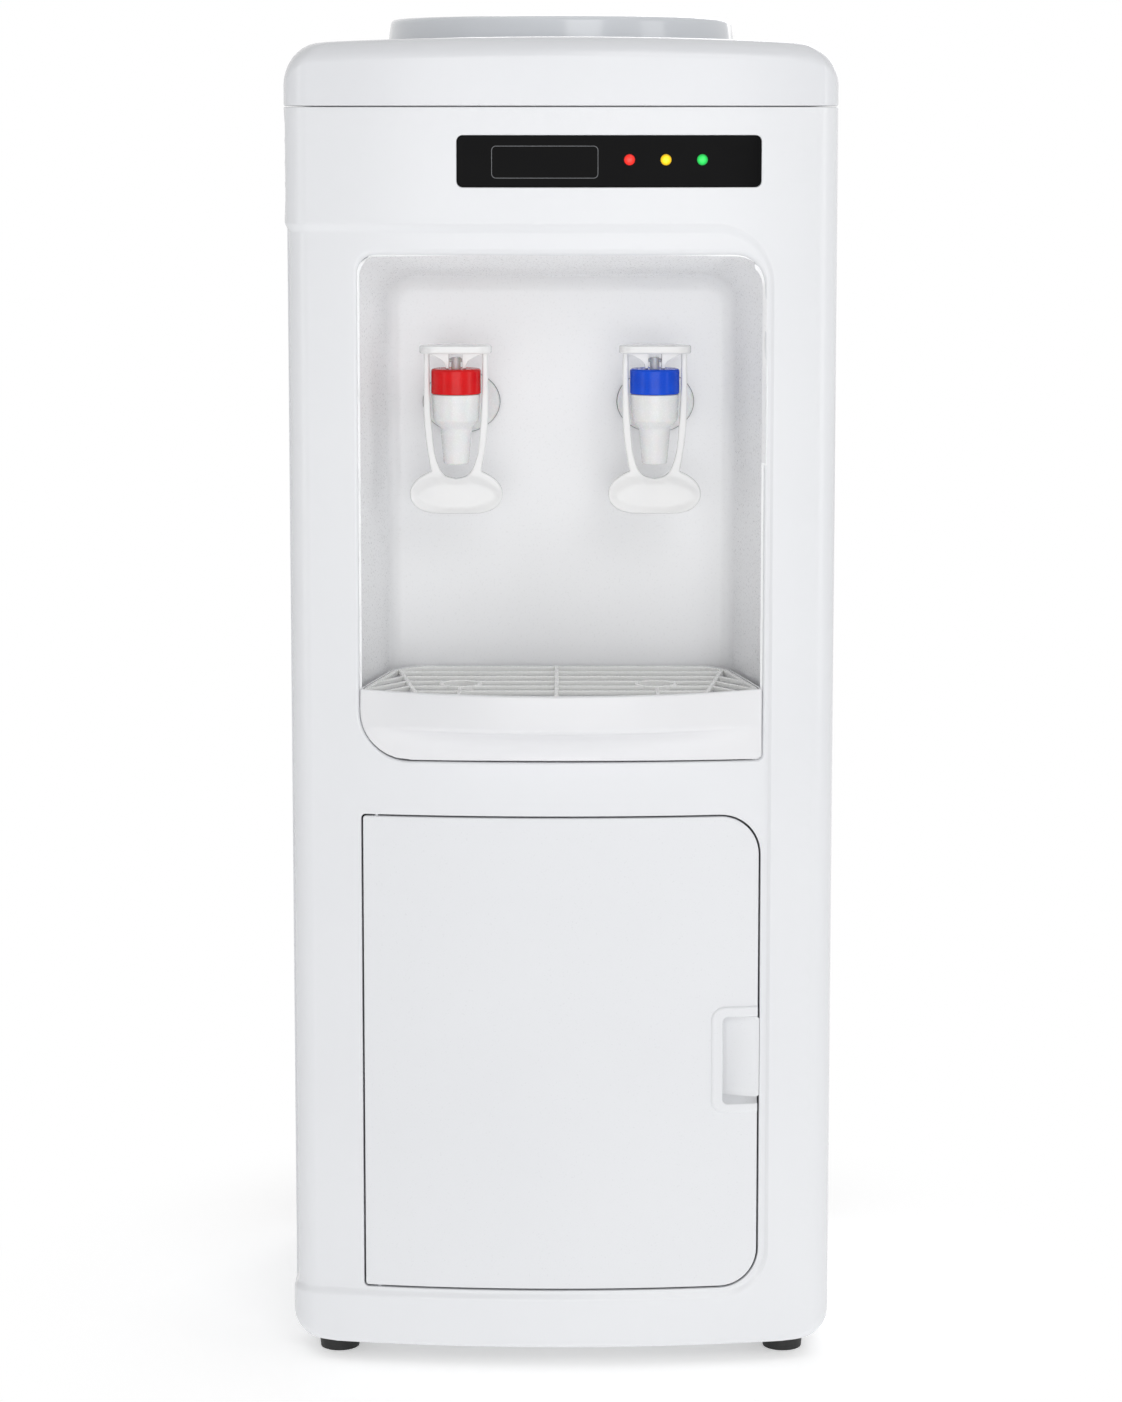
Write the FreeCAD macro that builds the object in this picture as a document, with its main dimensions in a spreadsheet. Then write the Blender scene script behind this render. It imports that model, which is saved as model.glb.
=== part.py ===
import FreeCAD, Part
import math
import os
import re

import Sketcher
from FreeCAD import Rotation, Vector

# A free-standing hot and cold water dispenser that takes its bottle on top. Millimetres.
# Z is up, the front faces -Y, and the origin is on the floor under the middle of the cabinet.
# A "depth" is measured back from the front face, which is bowed about one upright axis.

doc = FreeCAD.newDocument("water_cooler")

dimensions = {
    # cabinet
    "cabinet_width": 360,
    "front_reach": 165,
    "front_bow": 19,
    "cabinet_rear": 150,
    "cabinet_base": 12,
    "corner_radius": 20,
    "plinth_corner": 17,
    "frame_depth": 55,
    "moulding_wall": 3,
    "sheet_gauge": 1.2,
    "side_lip": 14,
    "fit_gap": 0.3,
    "part_line": 0.6,
    # sunk layer of the front panel
    "step_depth": 2.5,
    "band_height": 74.5,
    "step_base": 47.5,
    "column_width": 44,
    "step_slope": 6,
    "step_top_radius": 39,
    "step_base_radius": 29,
    # dispensing niche and tray bay
    "niche_inset": 3,
    "niche_drop": 21,
    "niche_depth": 120,
    "niche_splay": 17,
    "niche_fall": 35,
    "niche_straight": 25,
    "niche_left_radius": 12,
    "niche_right_radius": 20,
    "liner_wall": 2.5,
    # drip tray and grille
    "tray_gap": 1.2,
    "niche_height": 283.5,
    "tray_lip_height": 23.5,
    "tray_height": 46.5,
    "tray_proud": 20,
    "tray_corner": 32,
    "tray_floor": 3.5,
    "tray_lip": 2.2,
    "tray_rear_inset": 30.8,
    "tray_shoulder_inset": 15.8,
    "tray_shoulder": 20,
    "tray_clearance": 4,
    "grille_thickness": 1.8,
    "grille_skirt": 3,
    "grille_rim": 3.4,
    "slat_width": 2.8,
    "slat_pitch": 20.5,
    "ring_reach": 21,
    "ring_radius": 14.3,
    "ring_bore": 11.6,
    # storage door
    "door_inset": 2,
    "door_base": 52,
    "rail_height": 38,
    "door_gap": 1.2,
    "door_depth": 20,
    "door_top_radius": 26,
    "door_base_radius": 25,
    "door_hinge_radius": 2,
    "hinge_inset": 9.5,
    "hinge_setback": 4,
    "hinge_pin_radius": 1.8,
    "hinge_pin_length": 18,
    "hinge_clearance": 0.06,
    "hinge_boss": 4.6,
    # door handle
    "handle_width": 31.3,
    "handle_height": 72.5,
    "handle_drop": 4.75,
    "handle_rim": 8,
    "handle_proud": 1.2,
    "handle_corner": 9,
    "handle_depth": 14,
    "handle_wall": 2,
    "handle_lead": 5,
    # storage compartment
    "compartment_side": 3,
    "compartment_drop": 16,
    "compartment_rise": 15,
    "compartment_rear": 20,
    "magnet_rise": 35.5,
    # top cover and bottle seat
    "seam_height": 834.5,
    "cover_height": 44.5,
    "cover_crown": 4.5,
    "cover_fillet": 13,
    "seat_place": 10,
    "seat_radius": 118,
    "seat_rise": 14.5,
    "seat_depth": 35.5,
    "seat_rim": 13,
    "seat_lip_fillet": 4,
    "neck_radius": 31,
    "neck_length": 30,
    "neck_drop": 61,
    # indicator panel
    "window_inset": 51,
    "window_width": 196,
    "window_drop": 18.5,
    "window_height": 33,
    "window_radius": 4,
    "window_thickness": 1.6,
    "window_sink": 0.2,
    "lamp_drop": 15.5,
    "lamp_radius": 3.6,
    "lamp_inset": 85.1,
    "lamp_pitch": 23.4,
    # taps
    "hot_tap_x": -69.5,
    "cold_tap_x": 62,
    "tap_reach": 60,
    "tap_drop": 103,
    "nozzle_drop": 36.8,
    "nozzle_radius": 8.6,
    "nozzle_top_radius": 10.2,
    "nozzle_bore": 5.5,
    "valve_radius": 15,
    "valve_drop": 5,
    "valve_wall": 3.6,
    "valve_seat_drop": 8,
    "cap_radius": 16.5,
    "cap_rise": 10,
    "cap_height": 16.6,
    "cap_wall": 1.8,
    "stem_radius": 3,
    "stem_bar_radius": 1.2,
    "stem_bar_half": 8.2,
    "stem_bar_rise": 5.4,
    "pipe_radius": 9,
    "pipe_bore": 5,
    "tail_radius": 7.6,
    "tail_length": 26,
    "nut_across": 24,
    "nut_thickness": 7,
    "flange_width": 52,
    "flange_height": 42,
    "flange_thickness": 3,
    "flange_shift": 2,
    "lever_half": 21.3,
    "lever_arm": 3,
    "lever_thickness": 5,
    "lever_setback": 3,
    "plate_half": 22.5,
    "plate_rise": 10.4,
    "plate_thickness": 6,
    "plate_front": 15,
    "plate_rear": 9,
    "cheek_gap": 9,
    "cheek_thickness": 3,
    "fulcrum_reach": 9,
    "fulcrum_ridge": 0.5,
    "lever_slot_gap": 0.5,
    "lever_slot_run": 1.9,
    "paddle_half": 30.7,
    "paddle_drop": 69.7,
    "paddle_height": 26.7,
    "paddle_corner": 13,
    "paddle_thickness": 4,
    "paddle_rim": 2,
    "paddle_dish": 1,
    "loop_rise": 1.8,
    "loop_half": 12.8,
    "loop_depth": 11.2,
    # tanks
    "cold_tank_radius": 80,
    "cold_tank_drop": 16.5,
    "cold_tank_height": 76,
    "tank_gauge": 1,
    "foam_radius": 98,
    "foam_floor": 14,
    "hot_tank_radius": 50,
    "hot_tank_place": 62,
    "tank_standoff": 88,
    "hot_tank_rise": 19,
    "shelf_gap": 3.5,
    "bracket_depth": 6,
    "hose_radius": 6,
    "hose_bore": 4,
    "hose_bend": 14,
    "nipple_radius": 3.8,
    "nipple_length": 16,
    "feed_setback": 10,
    "spout_setback": 16,
    # refrigeration
    "compressor_radius": 58,
    "compressor_height": 150,
    "compressor_x": 20,
    "compressor_inset": 64,
    "compressor_rise": 10,
    "condenser_inset": 35,
    "condenser_rise": 26,
    "condenser_drop": 44.5,
    "condenser_tube": 2.4,
    "condenser_wire": 0.8,
    "wire_gap": 0.05,
    "wire_pitch": 14.5,
    "drier_radius": 9,
    "drier_length": 90,
    "drier_inset": 85,
    "drier_setback": 30,
    "drier_base": 60,
    "discharge_drop": 64.5,
    "discharge_inset": 70,
    "suction_inset": 15,
    # rear
    "bay_clearance": 61.5,
    "foot_radius": 13,
    "foot_inset": 30,
    "foot_front_inset": 43,
    "foot_rear_inset": 25,
    "pan_gauge": 1.5,
    "stand_width": 20,
    "stand_inset": 45,
    "switch_width": 15,
    "switch_height": 21,
    "switch_spacing": 24,
    "fitting_inset": 60,
    "fitting_drop": 28.5,
    "switch_pivot": 3,
    "switch_pin_radius": 1.5,
    "switch_pin_stub": 0.3,
    "switch_tilt": 7,
    "knob_radius": 12,
    "knob_height": 12,
    "drain_rise": 48,
    "drain_radius": 8,
    "screw_radius": 3.6,
    "screw_inset": 24,
    "screw_margin": 10,
    "gland_inset": 50,
    "gland_rise": 14,
    "louvre_drop": 76,
    "louvre_pitch": 14,
    "louvre_height": 4,
    "louvre_half": 60,
}

sheet = doc.addObject("Spreadsheet::Sheet", "dims")
for row, (name, value) in enumerate(dimensions.items(), start=1):
    sheet.set(f"A{row}", name)
    sheet.set(f"B{row}", str(value))
    sheet.setAlias(f"B{row}", name)
doc.recompute()

CONDENSER_RUNS = 12

# Places that follow from the driving dimensions.
places = {
    "half_width": "cabinet_width / 2",
    "bow_radius": "cabinet_width^2 / (8 * front_bow) + front_bow / 2",
    "bow_centre": "bow_radius - front_reach",
    "panel_wall": "step_depth + moulding_wall",
    "behind_panel": "panel_wall + fit_gap",
    "panel_top": "seam_height - part_line / 2",
    "cover_base": "seam_height + part_line / 2",
    "cover_top": "seam_height + cover_height",
    "bay_base": "tray_base - 1",
    "door_face": "step_depth",
    "door_back": "door_face + door_depth",
    "hinge_x": "-door_half + hinge_inset",
    "hinge_depth": "door_face + hinge_setback",
    "rear_reach": "front_reach + tray_proud",
    "tray_end": "bow_centre - sqrt((bow_radius - step_depth)^2 - tray_half^2)",
    "tray_rear": "niche_rear - tray_clearance",
    "grille_top": "tray_top - fit_gap",
    "ledge_height": "grille_top - grille_skirt - fit_gap",
    "fulcrum_y": "tap_place - fulcrum_reach",
    "fulcrum_z": "cap_top + 2 * fit_gap",
    "lever_front": "tap_place - lever_thickness / 2 - lever_setback",
    "lever_back": "lever_front + lever_thickness",
    "flange_back": "niche_rear - fit_gap",
    "flange_front": "flange_back - flange_thickness",
    "tail_end": "niche_rear + tail_length",
    "liner_back": "niche_rear + liner_wall",
    "nut_start": "liner_back + fit_gap",
    "foam_top": "cold_tank_top + 6",
    "foam_base": "cold_tank_base - foam_floor",
    "pan_base": "cabinet_base + 1",
    "pan_top": "pan_base + pan_gauge",
    "compressor_top": "pan_top + compressor_rise + compressor_height",
    "condenser_top": f"condenser_base + {CONDENSER_RUNS - 1} * condenser_pitch",
    "side_inner": "half_width - sheet_gauge",
    "rear_panel_front": "cabinet_rear - sheet_gauge",
    "condenser_plane": "rear_reach - 2 * condenser_wire - condenser_tube - wire_gap",
    "frame_rear": "frame_depth - front_reach",
    "step_top": "seam_height - band_height",
    "step_side": "half_width - column_width",
    "niche_half": "step_side - niche_inset",
    "niche_top": "step_top - niche_drop",
    "niche_rear": "niche_depth - front_reach",
    "niche_rear_half": "niche_half - niche_splay",
    "niche_rear_top": "niche_top - niche_fall",
    "tray_half": "niche_half - tray_gap",
    "tray_top": "niche_top - niche_height",
    "tray_crease": "tray_top - tray_lip_height",
    "tray_base": "tray_top - tray_height",
    "tray_rear_half": "tray_half - tray_rear_inset",
    "tray_shoulder_half": "tray_half - tray_shoulder_inset",
    "ring_place": "tap_place - ring_reach",
    "door_half": "niche_half - door_inset",
    "door_top": "tray_base - rail_height",
    "handle_left": "door_half - handle_width",
    "handle_base": "(door_base + door_top - handle_height) / 2 - handle_drop",
    "handle_top": "handle_base + handle_height",
    "compartment_half": "door_half + compartment_side",
    "compartment_base": "door_base - compartment_drop",
    "compartment_top": "door_top + compartment_rise",
    "magnet_height": "handle_base + magnet_rise",
    "seat_top": "cover_top + seat_rise",
    "seat_ledge": "seat_top - seat_depth",
    "neck_base": "seat_ledge - neck_drop",
    "window_left": "window_right - window_width",
    "window_right": "half_width - window_inset",
    "window_base": "window_top - window_height",
    "window_top": "seam_height - window_drop",
    "lamp_height": "window_top - lamp_drop",
    "lamp_first": "window_right - lamp_inset",
    "tap_place": "niche_rear - tap_reach",
    "tap_pipe_height": "niche_top - tap_drop",
    "nozzle_base": "tap_pipe_height - nozzle_drop",
    "valve_base": "tap_pipe_height - valve_drop",
    "valve_seat": "tap_pipe_height - valve_seat_drop",
    "cap_base": "tap_pipe_height + cap_rise",
    "cap_top": "cap_base + cap_height",
    "stem_bar_height": "cap_top + stem_bar_rise",
    "plate_base": "cap_top + plate_rise",
    "paddle_base": "tap_pipe_height - paddle_drop",
    "paddle_top": "paddle_base + paddle_height",
    "loop_base": "paddle_top + loop_rise",
    "loop_shoulder": "loop_base + loop_depth",
    "cold_tank_base": "cold_tank_top - cold_tank_height",
    "cold_tank_top": "seam_height - cold_tank_drop",
    "hot_tank_base": "shelf_height + tank_standoff",
    "hot_tank_height": "hot_tank_top - hot_tank_base",
    "heater_rise": "hot_tank_height * 8 / 35",
    "heater_height": "hot_tank_height * 2 / 7",
    "hot_tank_top": "tap_pipe_height + hot_tank_rise",
    "shelf_height": "compartment_top + liner_wall + shelf_gap",
    "bracket_height": "foam_base - bracket_depth",
    "compressor_place": "cabinet_rear - compressor_inset",
    "condenser_half": "half_width - condenser_inset",
    "condenser_base": "rear_panel_base + condenser_rise",
    "condenser_pitch": f"(seam_height - condenser_drop - condenser_base) / {CONDENSER_RUNS - 1}",
    "suction_place": "cabinet_rear - suction_inset",
    "rear_panel_base": "compressor_top + bay_clearance",
    "foot_place_x": "half_width - foot_inset",
    "foot_place_front": "foot_front_inset - front_reach",
    "foot_place_rear": "cabinet_rear - foot_rear_inset",
    "switch_x": "half_width - fitting_inset",
    "switch_z": "seam_height - fitting_drop",
    "knob_x": "-switch_x",
    "drain_height": "shelf_height + drain_rise",
    "gland_x": "gland_inset - half_width",
    "gland_height": "rear_panel_base + gland_rise",
    "louvre_base": "tap_pipe_height - louvre_drop",
    "screw_spacing": "(panel_top - rear_panel_base - 2 * screw_margin) / 4",
    "drier_x": "drier_inset - half_width",
    "drier_y": "cabinet_rear - drier_setback",
    "discharge_height": "compressor_top - discharge_drop",
    "discharge_x": "half_width - discharge_inset",
    "feed_y": "hot_tank_place - feed_setback",
    "spout_y": "seat_place - spout_setback",
    "stand_front": "stand_inset - front_reach",
}


def bound(expression):
    """The expression with each named size read from its cell."""

    def read(match):
        word = match.group(0)
        if word in places:
            return f"({bound(places[word])})"
        return f"dims.{word}" if word in dimensions else word

    return re.sub(r"[a-z_]+", read, str(expression))


def size(expression):
    """The expression's value in millimetres."""
    return float(sheet.evalExpression(bound(expression)))


def bow_y(x, depth):
    """The y of the bowed face at x, the depth behind the outermost face."""
    return f"(bow_centre - sqrt((bow_radius - ({depth}))^2 - ({x})^2))"


def sagitta_radius(half_chord, sagitta):
    """The radius of an arc with this half chord and rise."""
    return f"(({half_chord})^2 + ({sagitta})^2) / (2 * ({sagitta}))"


# ---------------------------------------------------------------- sketches and features

VIEWS = {"plan": "XY_Plane", "front": "XZ_Plane", "side": "YZ_Plane"}


def sketch(owner, view, shift="0"):
    """An empty sketch on one of the body's own planes, moved along its normal."""
    result = owner.newObject("Sketcher::SketchObject", "outline")
    features = owner.Origin.OriginFeatures
    plane = next(feature for feature in features if feature.Role == VIEWS[view])
    result.AttachmentSupport = [(plane, "")]
    result.MapMode = "FlatFace"
    result.setExpression("AttachmentOffset.Base.z", bound(shift))
    return result


def arc_middle(start, finish, radius):
    """The middle of the short arc that bulges to the right of start-finish, or left if negative."""
    chord = finish - start
    half = chord.Length / 2
    rise = abs(radius) - math.sqrt(max(radius * radius - half * half, 0))
    right = Vector(chord.y, -chord.x, 0).normalize()
    return (start + finish) * 0.5 + right * math.copysign(rise, radius)


def outline(target, corners, arcs=None):
    """A closed outline through the corners; arcs gives the radius of the side after a corner."""
    arcs = arcs or {}
    points = [Vector(size(x), size(y), 0) for x, y in corners]
    sides = []
    for index, start in enumerate(points):
        finish = points[(index + 1) % len(points)]
        if index in arcs:
            side = Part.Arc(start, arc_middle(start, finish, size(arcs[index])), finish)
        else:
            side = Part.LineSegment(start, finish)
        line = target.addGeometry(side)
        first = 1 if target.getPoint(line, 1).isEqual(start, 1e-5) else 2
        sides.append((line, first))
    rules = []
    values = []
    for index, (x, y) in enumerate(corners):
        line, first = sides[index]
        before, before_first = sides[index - 1]
        rules.append(Sketcher.Constraint("Coincident", before, 3 - before_first, line, first))
        for kind, place in (("DistanceX", x), ("DistanceY", y)):
            values.append((len(rules), place))
            rules.append(Sketcher.Constraint(kind, -1, 1, line, first, size(place)))
        if index in arcs:
            radius = f"abs({arcs[index]})"
            values.append((len(rules), radius))
            rules.append(Sketcher.Constraint("Radius", line, size(radius)))
    earlier = target.ConstraintCount
    target.addConstraint(rules)
    for index, value in values:
        target.setExpression(f"Constraints[{earlier + index}]", bound(value))
    return target


def new_body(label):
    return doc.addObject("PartDesign::Body", label)


def pad(owner, profile, length):
    feature = owner.newObject("PartDesign::Pad", "pad")
    feature.Profile = profile
    feature.setExpression("Length", bound(length))
    return feature


def prism(label, view, corners, start, finish, arcs=None):
    """A body padded from start to finish along Z (plan), Y (front) or X (side)."""
    result = new_body(label)
    shift = f"-({finish})" if view == "front" else start
    profile = outline(sketch(result, view, shift), corners, arcs)
    pad(result, profile, f"({finish}) - ({start})")
    return result


def rounded(label, view, left, base, right, top, radii, start, finish):
    """A padded rectangle; radii are its corners' radii from lower left, counterclockwise."""
    turns = [(left, base, 1, 1), (right, base, -1, 1), (right, top, -1, -1), (left, top, 1, -1)]
    corners = []
    arcs = {}
    for index, (x, y, inward_x, inward_y) in enumerate(turns):
        radius = radii[index]
        if size(radius) == 0:
            corners.append((x, y))
            continue
        level = (f"{x} + {inward_x} * ({radius})", y)
        upright = (x, f"{y} + {inward_y} * ({radius})")
        arcs[len(corners)] = radius
        corners += [upright, level] if index % 2 == 0 else [level, upright]
    return prism(label, view, corners, start, finish, arcs)


def turned(label, corners, centre, arcs=None):
    """A body of revolution about an upright axis at centre; corners are (radius, z)."""
    result = new_body(label)
    profile = outline(sketch(result, "front"), corners, arcs)
    feature = result.newObject("PartDesign::Revolution", "revolution")
    feature.Profile = profile
    feature.ReferenceAxis = (profile, ["V_Axis"])
    feature.Angle = 360
    result.setExpression("Placement.Base.x", bound(centre[0]))
    result.setExpression("Placement.Base.y", bound(centre[1]))
    return result


def fillet(owner, chosen, radius):
    """Rounds the body's edges that the test picks."""
    doc.recompute()
    tip = owner.Tip
    edges = [f"Edge{n}" for n, edge in enumerate(tip.Shape.Edges, 1) if chosen(edge)]
    feature = owner.newObject("PartDesign::Fillet", "fillet")
    feature.Base = (tip, edges)
    feature.setExpression("Radius", bound(radius))
    return feature


def upright_at(x, y):
    """Picks the upright edges at x and y."""

    def test(edge):
        box = edge.BoundBox
        here = abs(box.XMin - size(x)) < 0.01 and abs(box.YMin - size(y)) < 0.01
        return here and box.XLength < 0.01 and box.YLength < 0.01

    return test


# ---------------------------------------------------------------- primitives and booleans

TURNS = {
    "x": Rotation(Vector(0, 1, 0), 90),
    "y": Rotation(Vector(1, 0, 0), -90),
    "z": Rotation(),
}


def seat(item, place, axis="z"):
    """Puts an object at a place given by expressions, its own Z along the axis."""
    item.Placement = FreeCAD.Placement(Vector(), TURNS[axis])
    for letter, value in zip("xyz", place):
        item.setExpression(f"Placement.Base.{letter}", bound(value))
    return item


def box(label, x, y, z):
    """A block from its two ends along each axis."""
    result = doc.addObject("Part::Box", label)
    for name, (start, finish) in zip(("Length", "Width", "Height"), (x, y, z)):
        result.setExpression(name, bound(f"({finish}) - ({start})"))
    return seat(result, (x[0], y[0], z[0]))


def rod(label, axis, place, radius, length):
    result = doc.addObject("Part::Cylinder", label)
    result.setExpression("Radius", bound(radius))
    result.setExpression("Height", bound(length))
    return seat(result, place, axis)


def cone(label, axis, place, radius, end_radius, length):
    result = doc.addObject("Part::Cone", label)
    result.setExpression("Radius1", bound(radius))
    result.setExpression("Radius2", bound(end_radius))
    result.setExpression("Height", bound(length))
    return seat(result, place, axis)


def fuse(label, *pieces):
    result = doc.addObject("Part::MultiFuse", label)
    result.Shapes = list(pieces)
    result.Refine = True
    return result


def common(label, first, second):
    result = doc.addObject("Part::Common", label)
    result.Base = first
    result.Tool = second
    return result


def cut(label, base, *tools):
    """The base less every tool."""
    for tool in tools:
        result = doc.addObject("Part::Cut", label)
        result.Base = base
        result.Tool = tool
        base = result
    return base


def tube(label, axis, place, radius, bore, length):
    outer = rod(f"{label}_outer", axis, place, radius, length)
    return cut(label, outer, rod(f"{label}_bore", axis, place, bore, length))


def group(label, pieces):
    """Separate solids kept as one node."""
    result = doc.addObject("Part::Compound", label)
    result.Links = list(pieces)
    return result


nodes = {}


def node(label, item):
    """Names the finished sub-part."""
    item.Label = label
    nodes[label] = item
    return item


# ---------------------------------------------------------------- bowed front pieces


def cabinet_block(label, inset, base, top, rear="frame_rear"):
    """The cabinet's plan, inset from its outer face, between two heights."""
    half = f"half_width - ({inset})"
    side = bow_y(half, inset)
    corners = [(f"-({half})", rear), (f"-({half})", side), (half, side), (half, rear)]
    result = prism(label, "plan", corners, base, top, {1: f"bow_radius - ({inset})"})
    for x in (f"-({half})", half):
        fillet(result, upright_at(x, side), f"corner_radius - ({inset})")
    return result


def bowed(label, front, back, left, base, right, top, radii):
    """A slab that follows the bow between two depths, with a rounded outline from the front."""
    corners = [(left, bow_y(left, front)), (right, bow_y(right, front))]
    corners += [(right, bow_y(right, back)), (left, bow_y(left, back))]
    arcs = {0: f"bow_radius - ({front})", 2: f"-(bow_radius - ({back}))"}
    slab = prism(f"{label}_slab", "plan", corners, f"({base}) - 1", f"({top}) + 1", arcs)
    face = rounded(f"{label}_face", "front", left, base, right, top, radii,
                   "-rear_reach - 20", "0")
    return common(label, slab, face)


def step_ramp(label, low, high):
    """The wedge that slopes from the outer face at one height to the sunk layer at the other."""
    result = new_body(label)
    result.setExpression("Placement.Base.y", bound("bow_centre"))
    sunk = "-(bow_radius - step_depth)"
    flush = "-bow_radius"
    corners = [(sunk, low), (sunk, high), (flush, high)]
    profile = outline(sketch(result, "side"), corners)
    feature = result.newObject("PartDesign::Revolution", "revolution")
    feature.Profile = profile
    feature.ReferenceAxis = (profile, ["V_Axis"])
    feature.Angle = 40
    feature.Midplane = True
    return result


def make_front_panel():
    """One moulding: columns, top band and plinth, with a sunk layer that is open to the left."""
    shell = cabinet_block("panel_shell", "0", "cabinet_base", "panel_top")
    plinth_radii = ("plinth_corner", "plinth_corner", "0", "0")
    face = rounded("panel_face", "front", "-half_width", "cabinet_base", "half_width", "panel_top",
                   plinth_radii, "-front_reach - 5", "frame_rear")
    shell = common("panel_body", shell, face)
    cavity = cabinet_block("panel_cavity", "panel_wall", "cabinet_base - 1",
                           "panel_top - moulding_wall", "frame_rear + 5")
    layer = rounded("sunk_region", "front", "-half_width - 10", "step_base", "step_side", "step_top",
                    ("0", "step_base_radius", "step_top_radius", "0"),
                    "-front_reach - 5", "frame_rear + 5")
    core = cabinet_block("sunk_core", "step_depth", "step_base - 5", "step_top + 5",
                         "frame_rear + 10")
    upper = step_ramp("upper_ramp", "step_top - step_slope", "step_top + 1")
    lower = step_ramp("lower_ramp", "step_base + step_slope", "step_base - 1")
    reach = ("-half_width", "step_side - step_top_radius")
    ramp_zone = box("ramp_zone", reach, ("-front_reach - 5", "frame_rear"),
                    ("cabinet_base", "seam_height"))
    ramps = common("ramps", fuse("both_ramps", upper, lower), ramp_zone)
    sunk = cut("sunk", layer, core, ramps)
    niche = rounded("niche_opening", "front", "-niche_half", "bay_base", "niche_half", "niche_top",
                    ("tray_corner + 1", "4", "niche_right_radius", "niche_left_radius"),
                    "-front_reach - 5", "frame_rear + 5")
    door_radii = ("door_hinge_radius + door_gap", "door_base_radius + door_gap",
                  "door_top_radius + door_gap", "door_hinge_radius + door_gap")
    door = rounded("door_opening", "front", "-door_half - door_gap", "door_base - door_gap",
                   "door_half + door_gap", "door_top + door_gap", door_radii,
                   "-front_reach - 5", "frame_rear + 5")
    recess = bowed("window_recess", "-5", "window_sink + window_thickness + fit_gap / 2",
                   "window_left - fit_gap / 2", "window_base - fit_gap / 2",
                   "window_right + fit_gap / 2", "window_top + fit_gap / 2",
                   ("window_radius",) * 4)
    panel = cut("panel_cut", shell, cavity, sunk, niche, door, recess)
    lugs = []
    for name, low in (("upper", "door_top + door_gap"), ("lower", "door_base - door_gap - 12")):
        lug_x = ("hinge_x - hinge_boss", "hinge_x + hinge_boss")
        lug_y = (bow_y("hinge_x", "panel_wall - 1.5"), bow_y("hinge_x", "hinge_depth + hinge_boss"))
        lugs.append(box(f"{name}_lug", lug_x, lug_y, (low, f"{low} + 12")))
    panel = fuse("panel_with_lugs", panel, *lugs)
    pins = [hinge_rod(f"{name}_pin_hole", low, "hinge_pin_radius + fit_gap / 3")
            for name, low in pin_places()]
    lamps = [rod(f"lamp_hole_{n}", "y", (lamp_x(n), "-front_reach - 5", "lamp_height"),
                 "lamp_radius + fit_gap", "40") for n in range(3)]
    node("front_panel", cut("front_panel", panel, *pins, *lamps))


def lamp_x(number):
    return f"lamp_first + {number} * lamp_pitch"


def pin_places():
    """Where each hinge pin starts; half of it is in the frame and half in the door."""
    upper = "door_top + door_gap / 2 - hinge_pin_length / 2"
    lower = "door_base - door_gap / 2 - hinge_pin_length / 2"
    return (("upper", upper), ("lower", lower))


def hinge_rod(label, low, radius):
    place = ("hinge_x", bow_y("hinge_x", "hinge_depth"), low)
    return rod(label, "z", place, radius, "hinge_pin_length")


def make_indicator():
    """The glossy window, its three lamps and the board that carries them."""
    window = bowed("window_blank", "window_sink", "window_sink + window_thickness", "window_left",
                   "window_base", "window_right", "window_top", ("window_radius",) * 4)
    holes = [rod(f"window_hole_{n}", "y", (lamp_x(n), "-front_reach - 5", "lamp_height"),
                 "lamp_radius + fit_gap / 3", "40") for n in range(3)]
    node("indicator_window", cut("indicator_window", window, *holes))
    board_front = bow_y("window_right", "panel_wall + 8")
    board_back = f"{board_front} + 1.6"
    board = box("board_sheet", ("window_left + 6", "window_right - 6"), (board_front, board_back),
                ("window_base + 4", "window_top - 4"))
    posts = []
    for x in ("window_left + 14", "window_right - 14"):
        start = f"{bow_y(x, 'behind_panel')} + fit_gap"
        posts.append(rod("board_post", "y", (x, start, "window_base + 10"), "3",
                         f"{board_front} - {start} + 0.5"))
    node("indicator_board", fuse("indicator_board", board, *posts))
    for number, label in enumerate(("power_lamp", "heating_lamp", "cooling_lamp")):
        x = lamp_x(number)
        start = bow_y(x, "0.5")
        barrel = rod(f"{label}_barrel", "y", (x, start, "lamp_height"), "lamp_radius",
                     f"{board_front} - {start} - fit_gap / 3")
        dome = doc.addObject("Part::Sphere", f"{label}_dome")
        dome.setExpression("Radius", bound("lamp_radius * 1.6"))
        seat(dome, (x, f"{bow_y(x, '-0.4')} + lamp_radius * 1.6", "lamp_height"))
        nose = rod(f"{label}_nose", "y", (x, bow_y(x, "-2"), "lamp_height"), "lamp_radius", "4")
        node(label, fuse(label, barrel, common(f"{label}_lens", dome, nose)))


# ---------------------------------------------------------------- niche, tray and grille


def niche_plan(offset, front_inset):
    """The liner's plan: straight at the front, then drawn in towards the back wall."""
    half = f"niche_half + ({offset})"
    back = f"niche_rear + ({offset})"
    rear_half = f"niche_rear_half + ({offset})"
    bend = "-front_reach + niche_straight"
    front = bow_y(half, front_inset)
    corners = [(f"-({half})", front), (half, front), (half, bend), (rear_half, back),
               (f"-({rear_half})", back), (f"-({half})", bend)]
    return corners, {0: f"bow_radius - ({front_inset})"}


def niche_side(offset):
    """The side profile with the ceiling that drops towards the back."""
    fall = "(niche_top - niche_rear_top) / (front_reach + niche_rear)"
    top = f"niche_top + ({offset})"
    rear_top = f"niche_rear_top + ({offset}) - 20 * {fall}"
    return [("-front_reach - 20", f"bay_base - ({offset})"), ("niche_rear + 20", f"bay_base - ({offset})"),
            ("niche_rear + 20", rear_top), ("-front_reach", top), ("-front_reach - 20", top)]


def niche_solid(label, offset, front_inset):
    corners, arcs = niche_plan(offset, front_inset)
    plan = prism(f"{label}_plan", "plan", corners, "bay_base - 20", "niche_top + 20", arcs)
    side = prism(f"{label}_side", "side", niche_side(offset), "-half_width", "half_width")
    return common(label, plan, side)


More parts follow.
